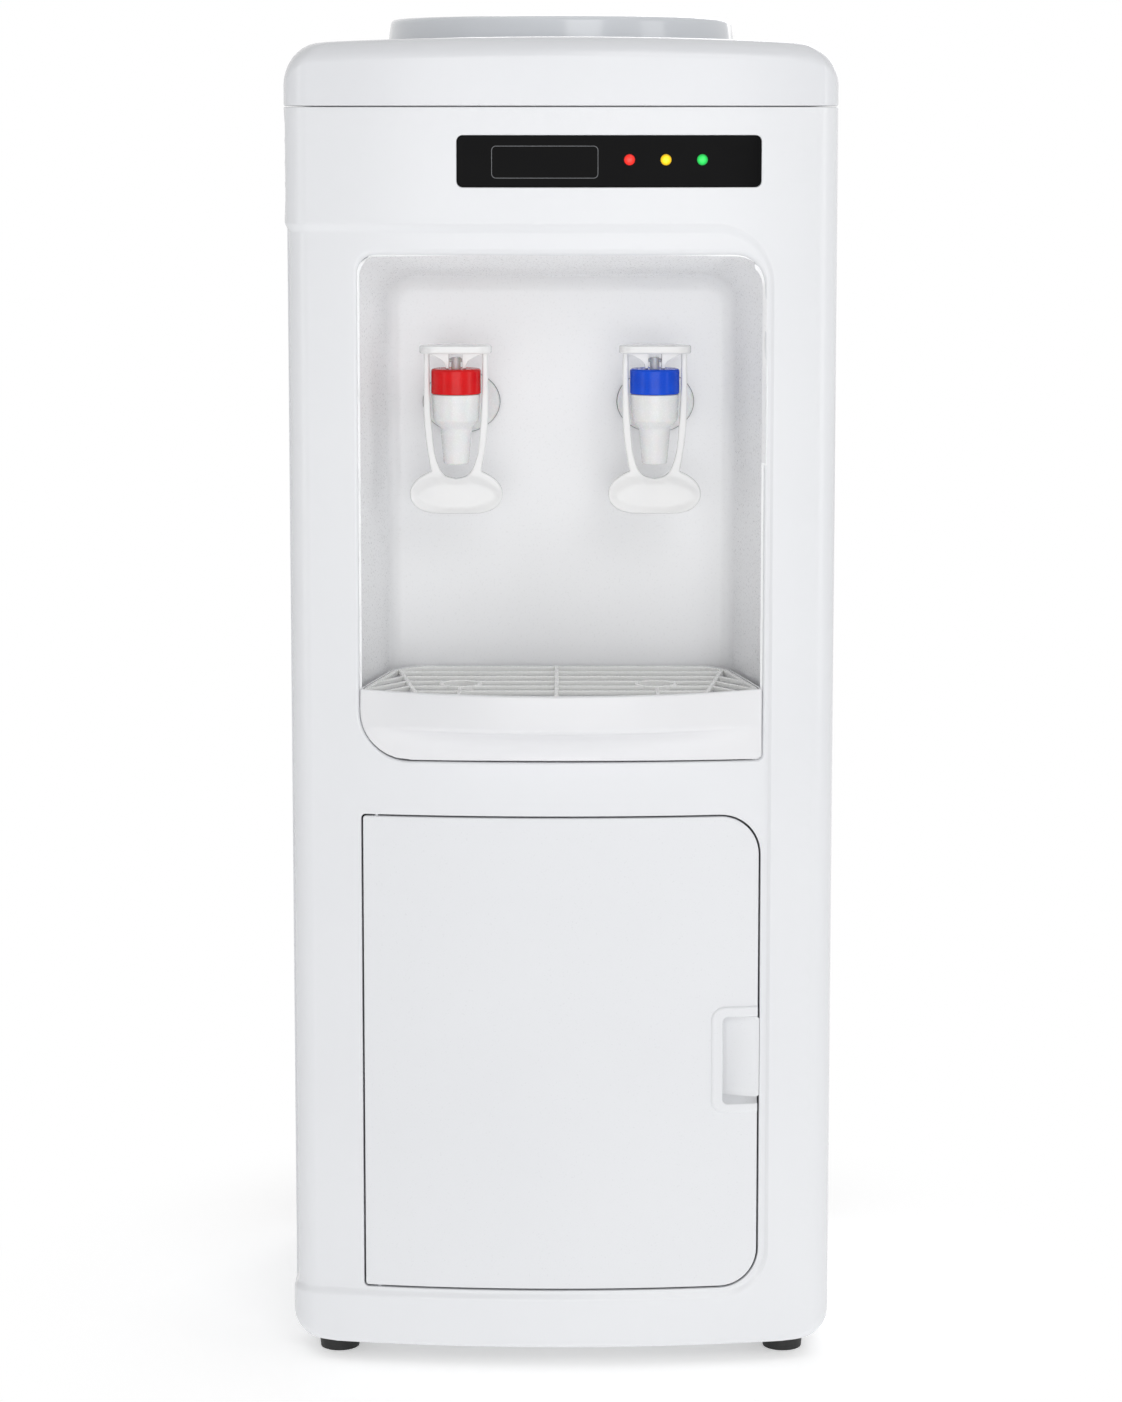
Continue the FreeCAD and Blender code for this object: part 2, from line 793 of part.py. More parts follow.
def make_niche_liner():
    """The white niche: back wall, splayed sides, falling ceiling and the tray's floor."""
    outer = niche_solid("liner_outer", "liner_wall", "behind_panel")
    inner = niche_solid("liner_inner", "0", "-10")
    liner = cut("liner_shell", outer, inner)
    holes = [rod("tap_hole", "y", (x, "niche_rear - 5", "tap_pipe_height"), "tail_radius + fit_gap",
                 "20") for x in ("hot_tap_x", "cold_tap_x")]
    node("niche_liner", cut("niche_liner", liner, *holes))


def tray_plan(inset, sagitta):
    """The tray from above: bowed front, short straight ends and a narrower back."""
    half = f"tray_half - ({inset})"
    end = "tray_end"
    rear = f"tray_rear - ({inset})"
    corners = [(f"-({half})", end), (half, end), (half, "tray_end + 8"),
               (f"tray_shoulder_half - ({inset})", "tray_rear - tray_shoulder"),
               (f"tray_rear_half - ({inset})", rear), (f"-(tray_rear_half - ({inset}))", rear),
               (f"-(tray_shoulder_half - ({inset}))", "tray_rear - tray_shoulder"),
               (f"-({half})", "tray_end + 8")]
    return corners, {0: sagitta_radius(half, sagitta)}


def tray_prism(label, inset, sagitta, base, top):
    corners, arcs = tray_plan(inset, sagitta)
    return prism(label, "plan", corners, base, top, arcs)


def make_drip_tray():
    """A pull-out cup whose lip stands proud of the cabinet over a finger cove."""
    full = "tray_end + front_reach + tray_proud"
    flush = "tray_end + front_reach - step_depth"
    upper = tray_prism("tray_upper", "0", full, "tray_crease", "tray_top")
    levels = (("tray_crease", full), ("tray_crease - 6", f"({flush}) + 0.55 * (({full}) - ({flush}))"),
              ("tray_crease - 13", f"({flush}) + 0.2 * (({full}) - ({flush}))"), ("tray_base", flush))
    sections = []
    holder = new_body("tray_sections")
    for height, sagitta in levels:
        corners, arcs = tray_plan("0", sagitta)
        sections.append(outline(sketch(holder, "plan", height), corners, arcs))
    cove = doc.addObject("Part::Loft", "tray_cove")
    cove.Sections = sections
    cove.Solid = True
    cove.Ruled = False
    face = rounded("tray_face", "front", "-tray_half", "tray_base", "tray_half", "tray_top",
                   ("tray_corner", "3", "0", "0"), "-rear_reach - 5", "0")
    body = common("tray_body", fuse("tray_solid", upper, cove), face)
    inner_face = rounded("tray_inner_face", "front", "-tray_half + 3", "tray_base + tray_floor",
                         "tray_half - 3", "tray_top + 5", ("tray_corner - 3", "3", "0", "0"),
                         "-rear_reach - 5", "0")
    deep = tray_prism("tray_deep", "3", f"({flush}) - 4", "tray_base", "tray_top + 5")
    wide = tray_prism("tray_wide", "tray_lip + grille_rim", f"({full}) - tray_lip - grille_rim",
                      "tray_crease + 2", "tray_top + 5")
    recess = tray_prism("tray_recess", "tray_lip", f"({full}) - tray_lip", "ledge_height",
                        "tray_top + 5")
    ledge_zone = tray_prism("tray_ledge_zone", "tray_lip + grille_rim",
                            f"({full}) - tray_lip - grille_rim", "ledge_height - 6",
                            "tray_top + 5")
    lower_zone = box("tray_lower_zone", ("-half_width", "half_width"), ("-rear_reach", "0"),
                     ("tray_base", "ledge_height - 3"))
    hollow = common("tray_hollow", common("tray_deep_low", deep, lower_zone), inner_face)
    wide = common("tray_wide_low", wide, inner_face)
    node("drip_tray", cut("drip_tray", body, hollow, wide, ledge_zone, recess))


def bar(label, start, finish, width, base, top):
    """A straight rib in plan between two points, from one height to another."""
    from_x, from_y = (size(value) for value in start)
    to_x, to_y = (size(value) for value in finish)
    run = math.hypot(to_x - from_x, to_y - from_y)
    side_x = -(to_y - from_y) / run / 2
    side_y = (to_x - from_x) / run / 2
    corners = []
    for (x, y), side in ((start, -1), (finish, -1), (finish, 1), (start, 1)):
        corners.append((f"{x} + ({side * side_x}) * {width}", f"{y} + ({side * side_y}) * {width}"))
    return prism(label, "plan", corners, base, top)


def make_drip_grille():
    """The lift-out grille: rim, slats, a middle rib, two slanting ribs and two bottle rings."""
    full = "tray_end + front_reach + tray_proud"
    margin = "tray_lip + fit_gap"
    rim_inset = f"{margin} + grille_rim"
    base = "grille_top - grille_thickness"
    blank = tray_prism("grille_blank", margin, f"({full}) - ({margin})", "grille_top - grille_skirt",
                       "grille_top")
    inner = tray_prism("grille_inner", rim_inset, f"({full}) - ({rim_inset})",
                       "grille_top - grille_skirt - 1", "grille_top + 1")
    rim = cut("grille_rim", blank, inner)
    field = tray_prism("grille_field", f"{rim_inset} - 0.5", f"({full}) - ({rim_inset}) + 0.5", base,
                       "grille_top")
    ribs = [bar("middle_rib", ("-3", "-rear_reach"), ("-3", "tray_rear"), "4.2", base, "grille_top")]
    for number in range(1, 6):
        y = f"tray_rear - 5 - {number} * slat_pitch"
        reach = f"109 - 3 * {number}"
        ribs.append(bar("slat", (f"-({reach})", y), (reach, y), "slat_width", base, "grille_top"))
    for side in (-1, 1):
        back = (f"{side} * 112", "tray_rear - 5")
        front = (f"{side} * 92", "-rear_reach + 12")
        ribs.append(bar("slanting_rib", back, front, "slat_width + 0.6", base, "grille_top"))
        for number in range(4):
            start = (f"{side} * (109 - 4 * {number})", f"tray_rear - 22 - {number} * 24")
            finish = (f"{side} * (139 - 4 * {number})", f"tray_rear - 52 - {number} * 24")
            ribs.append(bar("outer_rib", start, finish, "slat_width", base, "grille_top"))
    centres = (("hot_tap_x + 3", "ring_place"), ("cold_tap_x + 1", "ring_place"))
    for x, y in centres:
        ribs.append(rod("ring_disc", "z", (x, y, base), "ring_radius", "grille_thickness"))
        ribs.append(bar("ring_rib", (x, f"{y} - ring_radius + 1"), (x, "-rear_reach"), "slat_width",
                        base, "grille_top"))
    lattice = common("grille_lattice", fuse("grille_ribs", *ribs), field)
    bores = [rod("ring_bore", "z", (x, y, f"{base} - 1"), "ring_bore", "grille_thickness + 2")
             for x, y in centres]
    node("drip_grille", cut("drip_grille", fuse("grille_whole", rim, lattice), *bores))


# ---------------------------------------------------------------- storage door and compartment


def door_outline(label, front, back, inset):
    """The door's own outline, inset all round, between two depths."""
    radii = ["max(door_hinge_radius - ({0}); 0.5)", "door_base_radius - ({0})",
             "door_top_radius - ({0})", "max(door_hinge_radius - ({0}); 0.5)"]
    return bowed(label, front, back, f"-door_half + ({inset})", f"door_base + ({inset})",
                 f"door_half - ({inset})", f"door_top - ({inset})",
                 [radius.format(inset) for radius in radii])


def make_door():
    """A hollow door that swings on two pins at its left, closed behind by its own liner."""
    blank = door_outline("door_blank", "door_face", "door_back", "0")
    hollow = door_outline("door_hollow", "door_face + moulding_wall", "door_back + 5",
                          "moulding_wall")
    shell = cut("door_shell", blank, hollow)
    bosses = []
    for name, low in (("upper", "door_top - 14"), ("lower", "door_base + 1")):
        boss_x = ("hinge_x - hinge_boss", "hinge_x + hinge_boss")
        boss_y = (bow_y("hinge_x", "door_face + 1.5"), bow_y("hinge_x", "hinge_depth + hinge_boss"))
        bosses.append(box(f"{name}_boss", boss_x, boss_y, (low, f"{low} + 13")))
    shell = fuse("door_with_bosses", shell, *bosses)
    holes = [hinge_rod(f"{name}_hinge_hole", low, "hinge_pin_radius + hinge_clearance")
             for name, low in pin_places()]
    notch = bowed("handle_notch", "-5", "handle_depth + handle_wall + door_face + fit_gap",
                  "handle_left + handle_rim - handle_wall - fit_gap",
                  "handle_base + handle_rim / 2 - handle_wall - fit_gap",
                  "door_half + 5", "handle_top - handle_rim + handle_wall + fit_gap",
                  ("2", "0", "0", "2"))
    node("door_panel", cut("door_panel", shell, *holes, notch))
    backing = door_outline("door_backing", "door_back - 3", "door_back - 1",
                           "moulding_wall + fit_gap")
    node("door_liner", backing)
    pins = [hinge_rod(f"{name}_pin", low, "hinge_pin_radius") for name, low in pin_places()]
    node("hinge_pins", group("hinge_pins", pins))


def make_door_handle():
    """A raised rim round a finger pocket that is open at the door's edge."""
    edge = "door_half - fit_gap"
    pocket_left = "handle_left + handle_rim"
    pocket_base = "handle_base + handle_rim / 2"
    pocket_top = "handle_top - handle_rim"
    rim = bowed("handle_rim_slab", "door_face - handle_proud", "door_face - 0.02", "handle_left",
                "handle_base", edge, "handle_top", ("handle_corner", "0", "0", "handle_corner"))
    tub = bowed("handle_tub", "door_face - handle_proud",
                "handle_depth + handle_wall + door_face", f"{pocket_left} - handle_wall",
                f"{pocket_base} - handle_wall", edge, f"{pocket_top} + handle_wall",
                ("2", "0", "0", "2"))
    pocket_face = rounded("pocket_face", "front", pocket_left, pocket_base,
                          "door_half + handle_lead",
                          pocket_top, ("3", "0", "0", "3"), "-rear_reach", "0")
    deep = (pocket_left, bow_y(pocket_left, "door_face + handle_depth"))
    level = ("door_half + handle_lead", bow_y(edge, "door_face - fit_gap"))
    pocket_plan = prism("pocket_plan", "plan", [(pocket_left, "-rear_reach"),
                        ("door_half + handle_lead", "-rear_reach"), level, deep], "handle_base",
                        "handle_top")
    pocket = common("handle_pocket", pocket_face, pocket_plan)
    node("door_handle", cut("door_handle", fuse("handle_solid", rim, tub), pocket))


def make_compartment():
    """The storage space behind the door, with the magnet that holds the door shut."""
    outer_half = "compartment_half + liner_wall"
    front = bow_y(outer_half, "behind_panel")
    corners = [(f"-({outer_half})", front), (outer_half, front),
               (outer_half, "compartment_rear + liner_wall"),
               (f"-({outer_half})", "compartment_rear + liner_wall")]
    outer = prism("compartment_outer", "plan", corners, "compartment_base - liner_wall",
                  "compartment_top + liner_wall", {0: "bow_radius - behind_panel"})
    inner = box("compartment_inner", ("-compartment_half", "compartment_half"),
                ("-rear_reach", "compartment_rear"), ("compartment_base", "compartment_top"))
    node("storage_liner", cut("storage_liner", outer, inner))
    plate_front = bow_y("compartment_half - 8", "door_back - 1 + fit_gap")
    plate_back = f"{plate_front} + sheet_gauge"
    node("strike_plate", box("strike_plate", ("compartment_half - 17", "compartment_half - 8"),
                             (plate_front, plate_back), ("magnet_height - 14", "magnet_height + 14")))
    magnet_front = f"{plate_back} + 2 * fit_gap"
    node("door_magnet", box("door_magnet",
                            ("compartment_half - 16", "compartment_half - fit_gap / 2"),
                            (magnet_front, f"{magnet_front} + 10"),
                            ("magnet_height - 16", "magnet_height + 16")))


# ---------------------------------------------------------------- top cover and bottle seat


def make_top_cover():
    """The crowned cover, hollow below, with a well that the bottle seat drops into."""
    corners = [("-half_width", "cabinet_rear"), ("-half_width", bow_y("half_width", "0")),
               ("half_width", bow_y("half_width", "0")), ("half_width", "cabinet_rear")]
    crown_rise = sagitta_radius("half_width", "cover_crown")
    side_top = "cover_top - cover_crown"
    profile = [("-half_width", "cover_base"), ("half_width", "cover_base"), ("half_width", side_top),
               ("-half_width", side_top)]
    plan = prism("cover_plan", "plan", corners, "cover_base", "cover_top", {1: "bow_radius"})
    for x in ("-half_width", "half_width"):
        fillet(plan, upright_at(x, bow_y("half_width", "0")), "corner_radius")
        fillet(plan, upright_at(x, "cabinet_rear"), "corner_radius / 2")
    crown = prism("cover_crown", "front", profile, "-rear_reach", "rear_reach", {2: crown_rise})
    blank = common("cover_blank", plan, crown)
    doc.recompute()
    rim_edges = []
    for number, edge in enumerate(blank.Shape.Edges, 1):
        if edge.BoundBox.ZMin > size(side_top) - 0.5:
            rim_edges.append((number, size("cover_fillet"), size("cover_fillet")))
    softened = doc.addObject("Part::Fillet", "cover_softened")
    softened.Base = blank
    softened.Edges = rim_edges
    inner = cabinet_block("cover_cavity", "moulding_wall", "cover_base - 1",
                          "cover_top - cover_crown - moulding_wall - 4", "cabinet_rear - moulding_wall")
    centre = ("0", "seat_place", "seat_ledge - moulding_wall")
    shell = cut("cover_shell", softened, inner)
    well = rod("cover_well", "z", centre, "seat_radius + fit_gap + moulding_wall",
               "cover_top - cover_crown - seat_ledge")
    bore = rod("cover_well_bore", "z", ("0", "seat_place", "seat_ledge"), "seat_radius + fit_gap",
               "60")
    throat = rod("cover_throat", "z", ("0", "seat_place", "cover_base - 5"), "seat_radius - 12", "60")
    node("top_cover", cut("top_cover", fuse("cover_with_well", shell, well), bore, throat))


def make_bottle_seat():
    """The lift-out collar: its rim stands above the cover and its funnel ends in the neck socket."""
    neck_outer = "neck_radius + moulding_wall"
    neck_top = "neck_base + neck_length"
    bowl = "seat_radius - seat_rim"
    foot = "seat_ledge + fit_gap"
    skirt_inner = "seat_radius - 13"
    corners = [
        ("neck_radius", "neck_base"), (neck_outer, "neck_base"), (neck_outer, f"{neck_top} - 2"),
        (f"{skirt_inner} - 2", f"{foot} - 4"), (skirt_inner, foot), ("seat_radius", foot),
        ("seat_radius - 0.6", "seat_top - seat_lip_fillet"),
        ("seat_radius - 0.6 - seat_lip_fillet", "seat_top"), (f"{bowl} + 3", "seat_top"),
        (bowl, "seat_top - 3"), (f"{bowl} - 4", "seat_ledge + 6"), ("neck_radius + 6", f"{neck_top} + 4"),
        ("neck_radius", neck_top),
    ]
    arcs = {6: "seat_lip_fillet", 8: "3"}
    node("bottle_seat", turned("bottle_seat", corners, ("0", "seat_place"), arcs))


# ---------------------------------------------------------------- taps


def hexagon(across):
    """Corners of a hexagon about the origin, one flat at the top."""
    corners = []
    for number in range(6):
        angle = math.radians(60 * number)
        corners.append((f"{across} / sqrt(3) * {math.cos(angle)}",
                        f"{across} / sqrt(3) * {math.sin(angle)}"))
    return corners


def make_tap_body(name, x):
    """Valve chamber over the nozzle, with the pipe and threaded tail that pass through the wall."""
    chamber = "valve_radius - valve_wall"
    neck = "cap_radius - cap_wall - fit_gap"
    rim = "cap_top - cap_wall - 2"
    corners = [
        ("nozzle_bore", "nozzle_base"), ("nozzle_radius", "nozzle_base"),
        ("nozzle_top_radius", "valve_base - 8"), ("valve_radius", "valve_base"),
        ("valve_radius", "cap_base - fit_gap"), (neck, "cap_base - fit_gap"), (neck, rim),
        (chamber, rim), (chamber, "valve_seat"), ("nozzle_bore", "valve_seat"),
    ]
    shell = turned(f"{name}_shell", corners, (x, "tap_place"))
    start = "tap_place + valve_radius - valve_wall + 0.5"
    pipe = rod(f"{name}_pipe", "y", (x, start, "tap_pipe_height"), "pipe_radius",
               f"flange_front - fit_gap - ({start})")
    tail = rod(f"{name}_tail", "y", (x, start, "tap_pipe_height"), "tail_radius",
               f"tail_end - ({start})")
    bore = rod(f"{name}_bore", "y", (x, "tap_place + 5", "tap_pipe_height"), "pipe_bore",
               "tail_end - tap_place")
    chamber_space = rod(f"{name}_space", "z", (x, "tap_place", "valve_seat"), chamber,
                        f"{rim} - valve_seat")
    node(name, cut(name, fuse(f"{name}_solid", shell, pipe, tail), chamber_space, bore))


def make_tap_cap(name, x):
    """The coloured ring that screws down over the valve chamber and guides the stem."""
    bore = "cap_radius - cap_wall"
    guide = "stem_radius + fit_gap / 3"
    roof = "cap_top - cap_wall"
    corners = [
        (bore, "cap_base"), ("cap_radius - 0.6", "cap_base"), ("cap_radius", "cap_base + 0.6"),
        ("cap_radius", "cap_top - 1.2"), ("cap_radius - 1.2", "cap_top"), (guide, "cap_top"),
        (guide, roof), (bore, roof),
    ]
    node(name, turned(name, corners, (x, "tap_place"), {3: "1.2"}))


def make_tap_stem(name, x):
    """The stem, lifted by a cross bar through the lever's cheeks, and the plug at its foot."""
    plug_top = "valve_seat + 6"
    post = rod(f"{name}_post", "z", (x, "tap_place", f"{plug_top} - 4"), "stem_radius",
               f"stem_bar_height + 2 - ({plug_top}) + 4")
    cross = rod(f"{name}_bar", "x", (f"{x} - stem_bar_half", "tap_place", "stem_bar_height"),
                "stem_bar_radius", "2 * stem_bar_half")
    node(f"{name}_stem", fuse(f"{name}_stem", post, cross))
    corners = [
        ("0", "valve_seat + fit_gap"), ("8", "valve_seat + fit_gap"), ("8", plug_top),
        ("stem_radius + 0.05", plug_top), ("stem_radius + 0.05", f"{plug_top} - 4.05"),
        ("0", f"{plug_top} - 4.05"),
    ]
    node(f"{name}_plug", turned(f"{name}_plug", corners, (x, "tap_place")))


def make_tap_lever(name, x):
    """The push lever: top plate, two cheeks, two arms round the valve and the dished paddle."""
    outer = "lever_half"
    inner = "lever_half - lever_arm"
    arm_foot = "lever_half - 4.2"
    corners = [
        (f"{x} - {outer}", "plate_base + 1"), (f"{x} - {outer}", "tap_pipe_height"),
        (f"{x} - ({arm_foot})", "paddle_top - 3"), (f"{x} + {arm_foot}", "paddle_top - 3"),
        (f"{x} + {outer}", "tap_pipe_height"), (f"{x} + {outer}", "plate_base + 1"),
        (f"{x} + {inner}", "plate_base + 1"), (f"{x} + {inner}", "tap_pipe_height"),
        (f"{x} + loop_half", "loop_shoulder"), (f"{x} - loop_half", "loop_shoulder"),
        (f"{x} - ({inner})", "tap_pipe_height"), (f"{x} - ({inner})", "plate_base + 1"),
    ]
    drop = "loop_shoulder - loop_base"
    arcs = {1: "120", 3: "120", 7: "-110", 8: f"-({sagitta_radius('loop_half', drop)})", 9: "-110"}
    arms = prism(f"{name}_arms", "front", corners, "lever_front", "lever_back", arcs)
    paddle = rounded(f"{name}_paddle", "front", f"{x} - paddle_half", "paddle_base",
                     f"{x} + paddle_half", "paddle_top", ("paddle_corner",) * 4,
                     "lever_front", "lever_front + paddle_thickness")
    loop = cut(f"{name}_web", paddle, loop_space(name, x))
    dish = rounded(f"{name}_dish", "front", f"{x} - paddle_half + paddle_rim",
                   "paddle_base + paddle_rim", f"{x} + paddle_half - paddle_rim",
                   "loop_base - 3", ("paddle_corner - paddle_rim",) * 4,
                   "lever_front - 1", "lever_front + paddle_dish")
    top = [(f"{x} - plate_half", "tap_place - plate_front + 6"),
           (f"{x} - plate_half + 5", "tap_place - plate_front"),
           (f"{x} + plate_half - 5", "tap_place - plate_front"),
           (f"{x} + plate_half", "tap_place - plate_front + 6"),
           (f"{x} + plate_half - 9", "tap_place + plate_rear"),
           (f"{x} - plate_half + 9", "tap_place + plate_rear")]
    plate = prism(f"{name}_plate", "plan", top, "plate_base", "plate_base + plate_thickness")
    cheeks = [lever_cheek(name, x, side) for side in (-1, 1)]
    lever = fuse(f"{name}_solid", arms, loop, plate, *cheeks)
    slot_x = (f"{x} - stem_bar_half - fit_gap", f"{x} + stem_bar_half + fit_gap")
    slot = box(f"{name}_slot", slot_x,
               ("tap_place - stem_bar_radius - lever_slot_gap",
                "tap_place + stem_bar_radius + lever_slot_gap + lever_slot_run"),
               ("stem_bar_height - stem_bar_radius - lever_slot_gap",
                "stem_bar_height + stem_bar_radius + lever_slot_gap"))
    node(name, cut(name, lever, dish, slot))


def loop_space(name, x):
    """The U-shaped gap that the nozzle shows through, where it dips into the paddle."""
    drop = "loop_shoulder - loop_base"
    corners = [(f"{x} - loop_half", "loop_shoulder"), (f"{x} + loop_half", "loop_shoulder"),
               (f"{x} + loop_half", "loop_shoulder + 5"), (f"{x} - loop_half", "loop_shoulder + 5")]
    arcs = {0: sagitta_radius("loop_half", drop)}
    return prism(f"{name}_loop", "front", corners, "-rear_reach", "0", arcs)


def lever_cheek(name, x, side):
    """One of the two cheeks that stand on the cap and carry the plate."""
    near = "cheek_gap / 2"
    far = "cheek_gap / 2 + cheek_thickness"
    spread = "plate_half - 6"
    corners = [(f"{x} + {side} * ({near})", "fulcrum_z"), (f"{x} + {side} * ({far})", "fulcrum_z"),
               (f"{x} + {side} * ({far})", "plate_base - 4"), (f"{x} + {side} * ({spread})", "plate_base + 1"),
               (f"{x} + {side} * ({near})", "plate_base + 1")]
    if side < 0:
        corners.reverse()
    cheek = prism(f"{name}_cheek", "front", corners, "tap_place - fulcrum_reach - 0.8",
                  "tap_place + plate_rear - 2")
    start = near if side > 0 else far
    ridge = rod(f"{name}_ridge", "x", (f"{x} + {side} * ({start})", "fulcrum_y", "fulcrum_z"),
                "fulcrum_ridge", "cheek_thickness")
    return fuse(f"{name}_cheek_on_ridge", cheek, ridge)


def make_taps():
    """Both taps, and the flanges, nuts and springs that they share in kind."""
    flanges = []
    nuts = []
    springs = []
    for name, x in (("hot_tap", "hot_tap_x"), ("cold_tap", "cold_tap_x")):
        make_tap_body(f"{name}_body", x)
        make_tap_cap(f"{name}_cap", x)
        make_tap_stem(name, x)
        make_tap_lever(f"{name}_lever", x)
        middle = f"{x} + flange_shift"
        plate = rounded(f"{name}_flange", "front", f"{middle} - flange_width / 2",
                        "tap_pipe_height - flange_height / 2", f"{middle} + flange_width / 2",
                        "tap_pipe_height + flange_height / 2", ("flange_height / 2 - 0.5",) * 4,
                        "flange_front", "flange_back")
        hole = rod(f"{name}_flange_hole", "y", (x, "flange_front - 5", "tap_pipe_height"),
                   "tail_radius + fit_gap / 3", "20")
        flanges.append(cut(f"{name}_flange_cut", plate, hole))
        corners = [(f"{x} + {a}", f"tap_pipe_height + {b}") for a, b in hexagon("nut_across")]
        nut = prism(f"{name}_nut", "front", corners, "nut_start", "nut_start + nut_thickness")
        thread = rod(f"{name}_thread", "y", (x, "nut_start - 1", "tap_pipe_height"),
                     "tail_radius + hinge_clearance", "20")
        nuts.append(cut(f"{name}_nut_cut", nut, thread))
        springs.append(tube(f"{name}_spring", "z", (x, "tap_place", "valve_seat + 10.5"), "5.6",
                            "4.2", "cap_top - cap_wall - valve_seat - 10.5 - fit_gap"))
    node("tap_flanges", group("tap_flanges", flanges))
    node("tap_nuts", group("tap_nuts", nuts))
    node("tap_springs", group("tap_springs", springs))


# ---------------------------------------------------------------- cabinet sheet metal and base


def make_side_panel(label, side):
    """A painted side sheet with flanges turned in at the front and the back."""
    outer = f"{side} * half_width"
    inner = f"{side} * side_inner"
    tip = f"{side} * (half_width - side_lip)"
    front = "frame_rear + fit_gap"
    corners = [(outer, front), (outer, "cabinet_rear"), (tip, "cabinet_rear"),
               (tip, "rear_panel_front"), (inner, "rear_panel_front"),
               (inner, "frame_rear + fit_gap + sheet_gauge"),
               (tip, "frame_rear + fit_gap + sheet_gauge"), (tip, front)]
    if side < 0:
        corners.reverse()
    node(label, prism(label, "plan", corners, "cabinet_base", "panel_top"))


def make_rear_panel():
    """The rear sheet with its louvres, fitting holes and the welded arms that hold the condenser."""
    inner = "half_width - side_lip - fit_gap"
    plate = box("rear_sheet", (f"-({inner})", inner), ("rear_panel_front", "cabinet_rear"),
                ("rear_panel_base", "panel_top - 2"))
    arms = []
    arm_depth = ("cabinet_rear - sheet_gauge / 2",
                 "condenser_plane - condenser_tube - 2 * condenser_wire - 2 * wire_gap - fit_gap")
    for x in ("-condenser_half + wire_pitch", "condenser_half - wire_pitch"):
        for run in (1.5, CONDENSER_RUNS - 2.5):
            height = f"condenser_base + {run} * condenser_pitch"
            arms.append(box("condenser_arm", (f"{x} - 5", f"{x} + 5"), arm_depth,
                            (f"{height} - 8", f"{height} + 8")))
    cuts = [rod("drain_hole", "y", ("0", "cabinet_rear - 10", "drain_height"), "drain_radius + 1", "20")]
    for x in ("switch_x", "switch_x - switch_spacing"):
        cuts.append(box("switch_hole", (f"{x} - switch_width / 2", f"{x} + switch_width / 2"),
                        ("cabinet_rear - 10", "cabinet_rear + 10"),
                        ("switch_z - switch_height / 2", "switch_z + switch_height / 2")))
    cuts.append(rod("knob_hole", "y", ("knob_x", "cabinet_rear - 10", "switch_z"), "3.5", "20"))
    for number in range(6):
        height = f"louvre_base + {number} * louvre_pitch"
        cuts.append(box("louvre", ("-louvre_half", "louvre_half"),
                        ("cabinet_rear - 10", "cabinet_rear + 10"),
                        (height, f"{height} + louvre_height")))
    node("back_panel", fuse("back_panel", cut("rear_sheet_cut", plate, *cuts), *arms))


def make_base():
    """The base pan that everything stands on, and its four rubber feet."""
    half = "side_inner - 1"
    front = bow_y("half_width - side_lip - 1", "panel_wall + 1")
    flat = box("pan_flat", (f"-({half})", half), ("frame_rear + 5", "rear_panel_front - fit_gap"),
               ("pan_base", "pan_top"))
    narrow = "half_width - side_lip - 1"
    tongue = box("pan_tongue", (f"-({narrow})", narrow), (front, "frame_rear + 6"),
                 ("pan_base", "pan_top"))
    wings = [box("pan_wing", (f"-({half})", f"-({half}) + pan_gauge"),
                 ("frame_rear + 5", "cabinet_rear - 2"), ("pan_base", "pan_base + 18")),
             box("pan_wing", (f"{half} - pan_gauge", half), ("frame_rear + 5", "cabinet_rear - 2"),
                 ("pan_base", "pan_base + 18"))]
    stand_half = "compartment_half - 20"
    stands = [box("pan_stand", (f"-({stand_half})", stand_half), (front, f"{front} + stand_width"),
                  ("pan_top - 0.5", "compartment_base - liner_wall - fit_gap"))
              for front in ("stand_front", "compartment_rear - stand_width")]
    node("base_pan", fuse("base_pan", flat, tongue, *wings, *stands))
    feet = []
    for x in ("-foot_place_x", "foot_place_x"):
        for y in ("foot_place_front", "foot_place_rear"):
            feet.append(cone("foot", "z", (x, y, "0"), "foot_radius", "foot_radius + 1.5", "pan_base"))
    node("feet", group("feet", feet))


# ---------------------------------------------------------------- water side


def pipe(label, points, radius, bend, bore=None):
    """A tube along straight runs joined by tangent arcs; points are lists of expressions."""
    route = [Vector(*(size(value) for value in point)) for point in points]
    bend_radius = size(bend)
    edges = []
    start = route[0]
    for before, here, after in zip(route, route[1:], route[2:]):
        arriving = (here - before).normalize()
        leaving = (after - here).normalize()
        turn = arriving.getAngle(leaving)
        reach = bend_radius * math.tan(turn / 2)
        first = here - arriving * reach
        last = here + leaving * reach
        inward = (leaving - arriving).normalize()
        middle = here + inward * (bend_radius / math.cos(turn / 2) - bend_radius)
        edges.append(Part.LineSegment(start, first).toShape())
        edges.append(Part.Arc(first, middle, last).toShape())
        start = last
    edges.append(Part.LineSegment(start, route[-1]).toShape())
    spine = Part.Wire(edges)
    direction = route[1] - route[0]

    def swept(section):
        ring = Part.Wire(Part.makeCircle(section, route[0], direction))
        return spine.makePipeShell([ring], True, False)

    solid = swept(size(radius))
    if bore is not None:
        solid = solid.cut(swept(size(bore)))
    result = doc.addObject("Part::Feature", label)
    result.Shape = solid
    return result


def tank(label, radius, base, top, centre, mouth="0"):
    """A thin drawn can, open at its mouth if it has one."""
    wall = "tank_gauge"
    outer = rod(f"{label}_outer", "z", (*centre, base), radius, f"({top}) - ({base})")
    inner = rod(f"{label}_inner", "z", (*centre, f"{base} + {wall}"), f"{radius} - {wall}",
                f"({top}) - ({base}) - 2 * {wall}")
    if mouth == "0":
        return cut(label, outer, inner)
    return cut(label, outer, inner, rod(f"{label}_mouth", "z", (*centre, f"{top} - 3"), mouth, "10"))


def nipple(label, axis, place, length):
    return rod(label, axis, place, "nipple_radius", length)


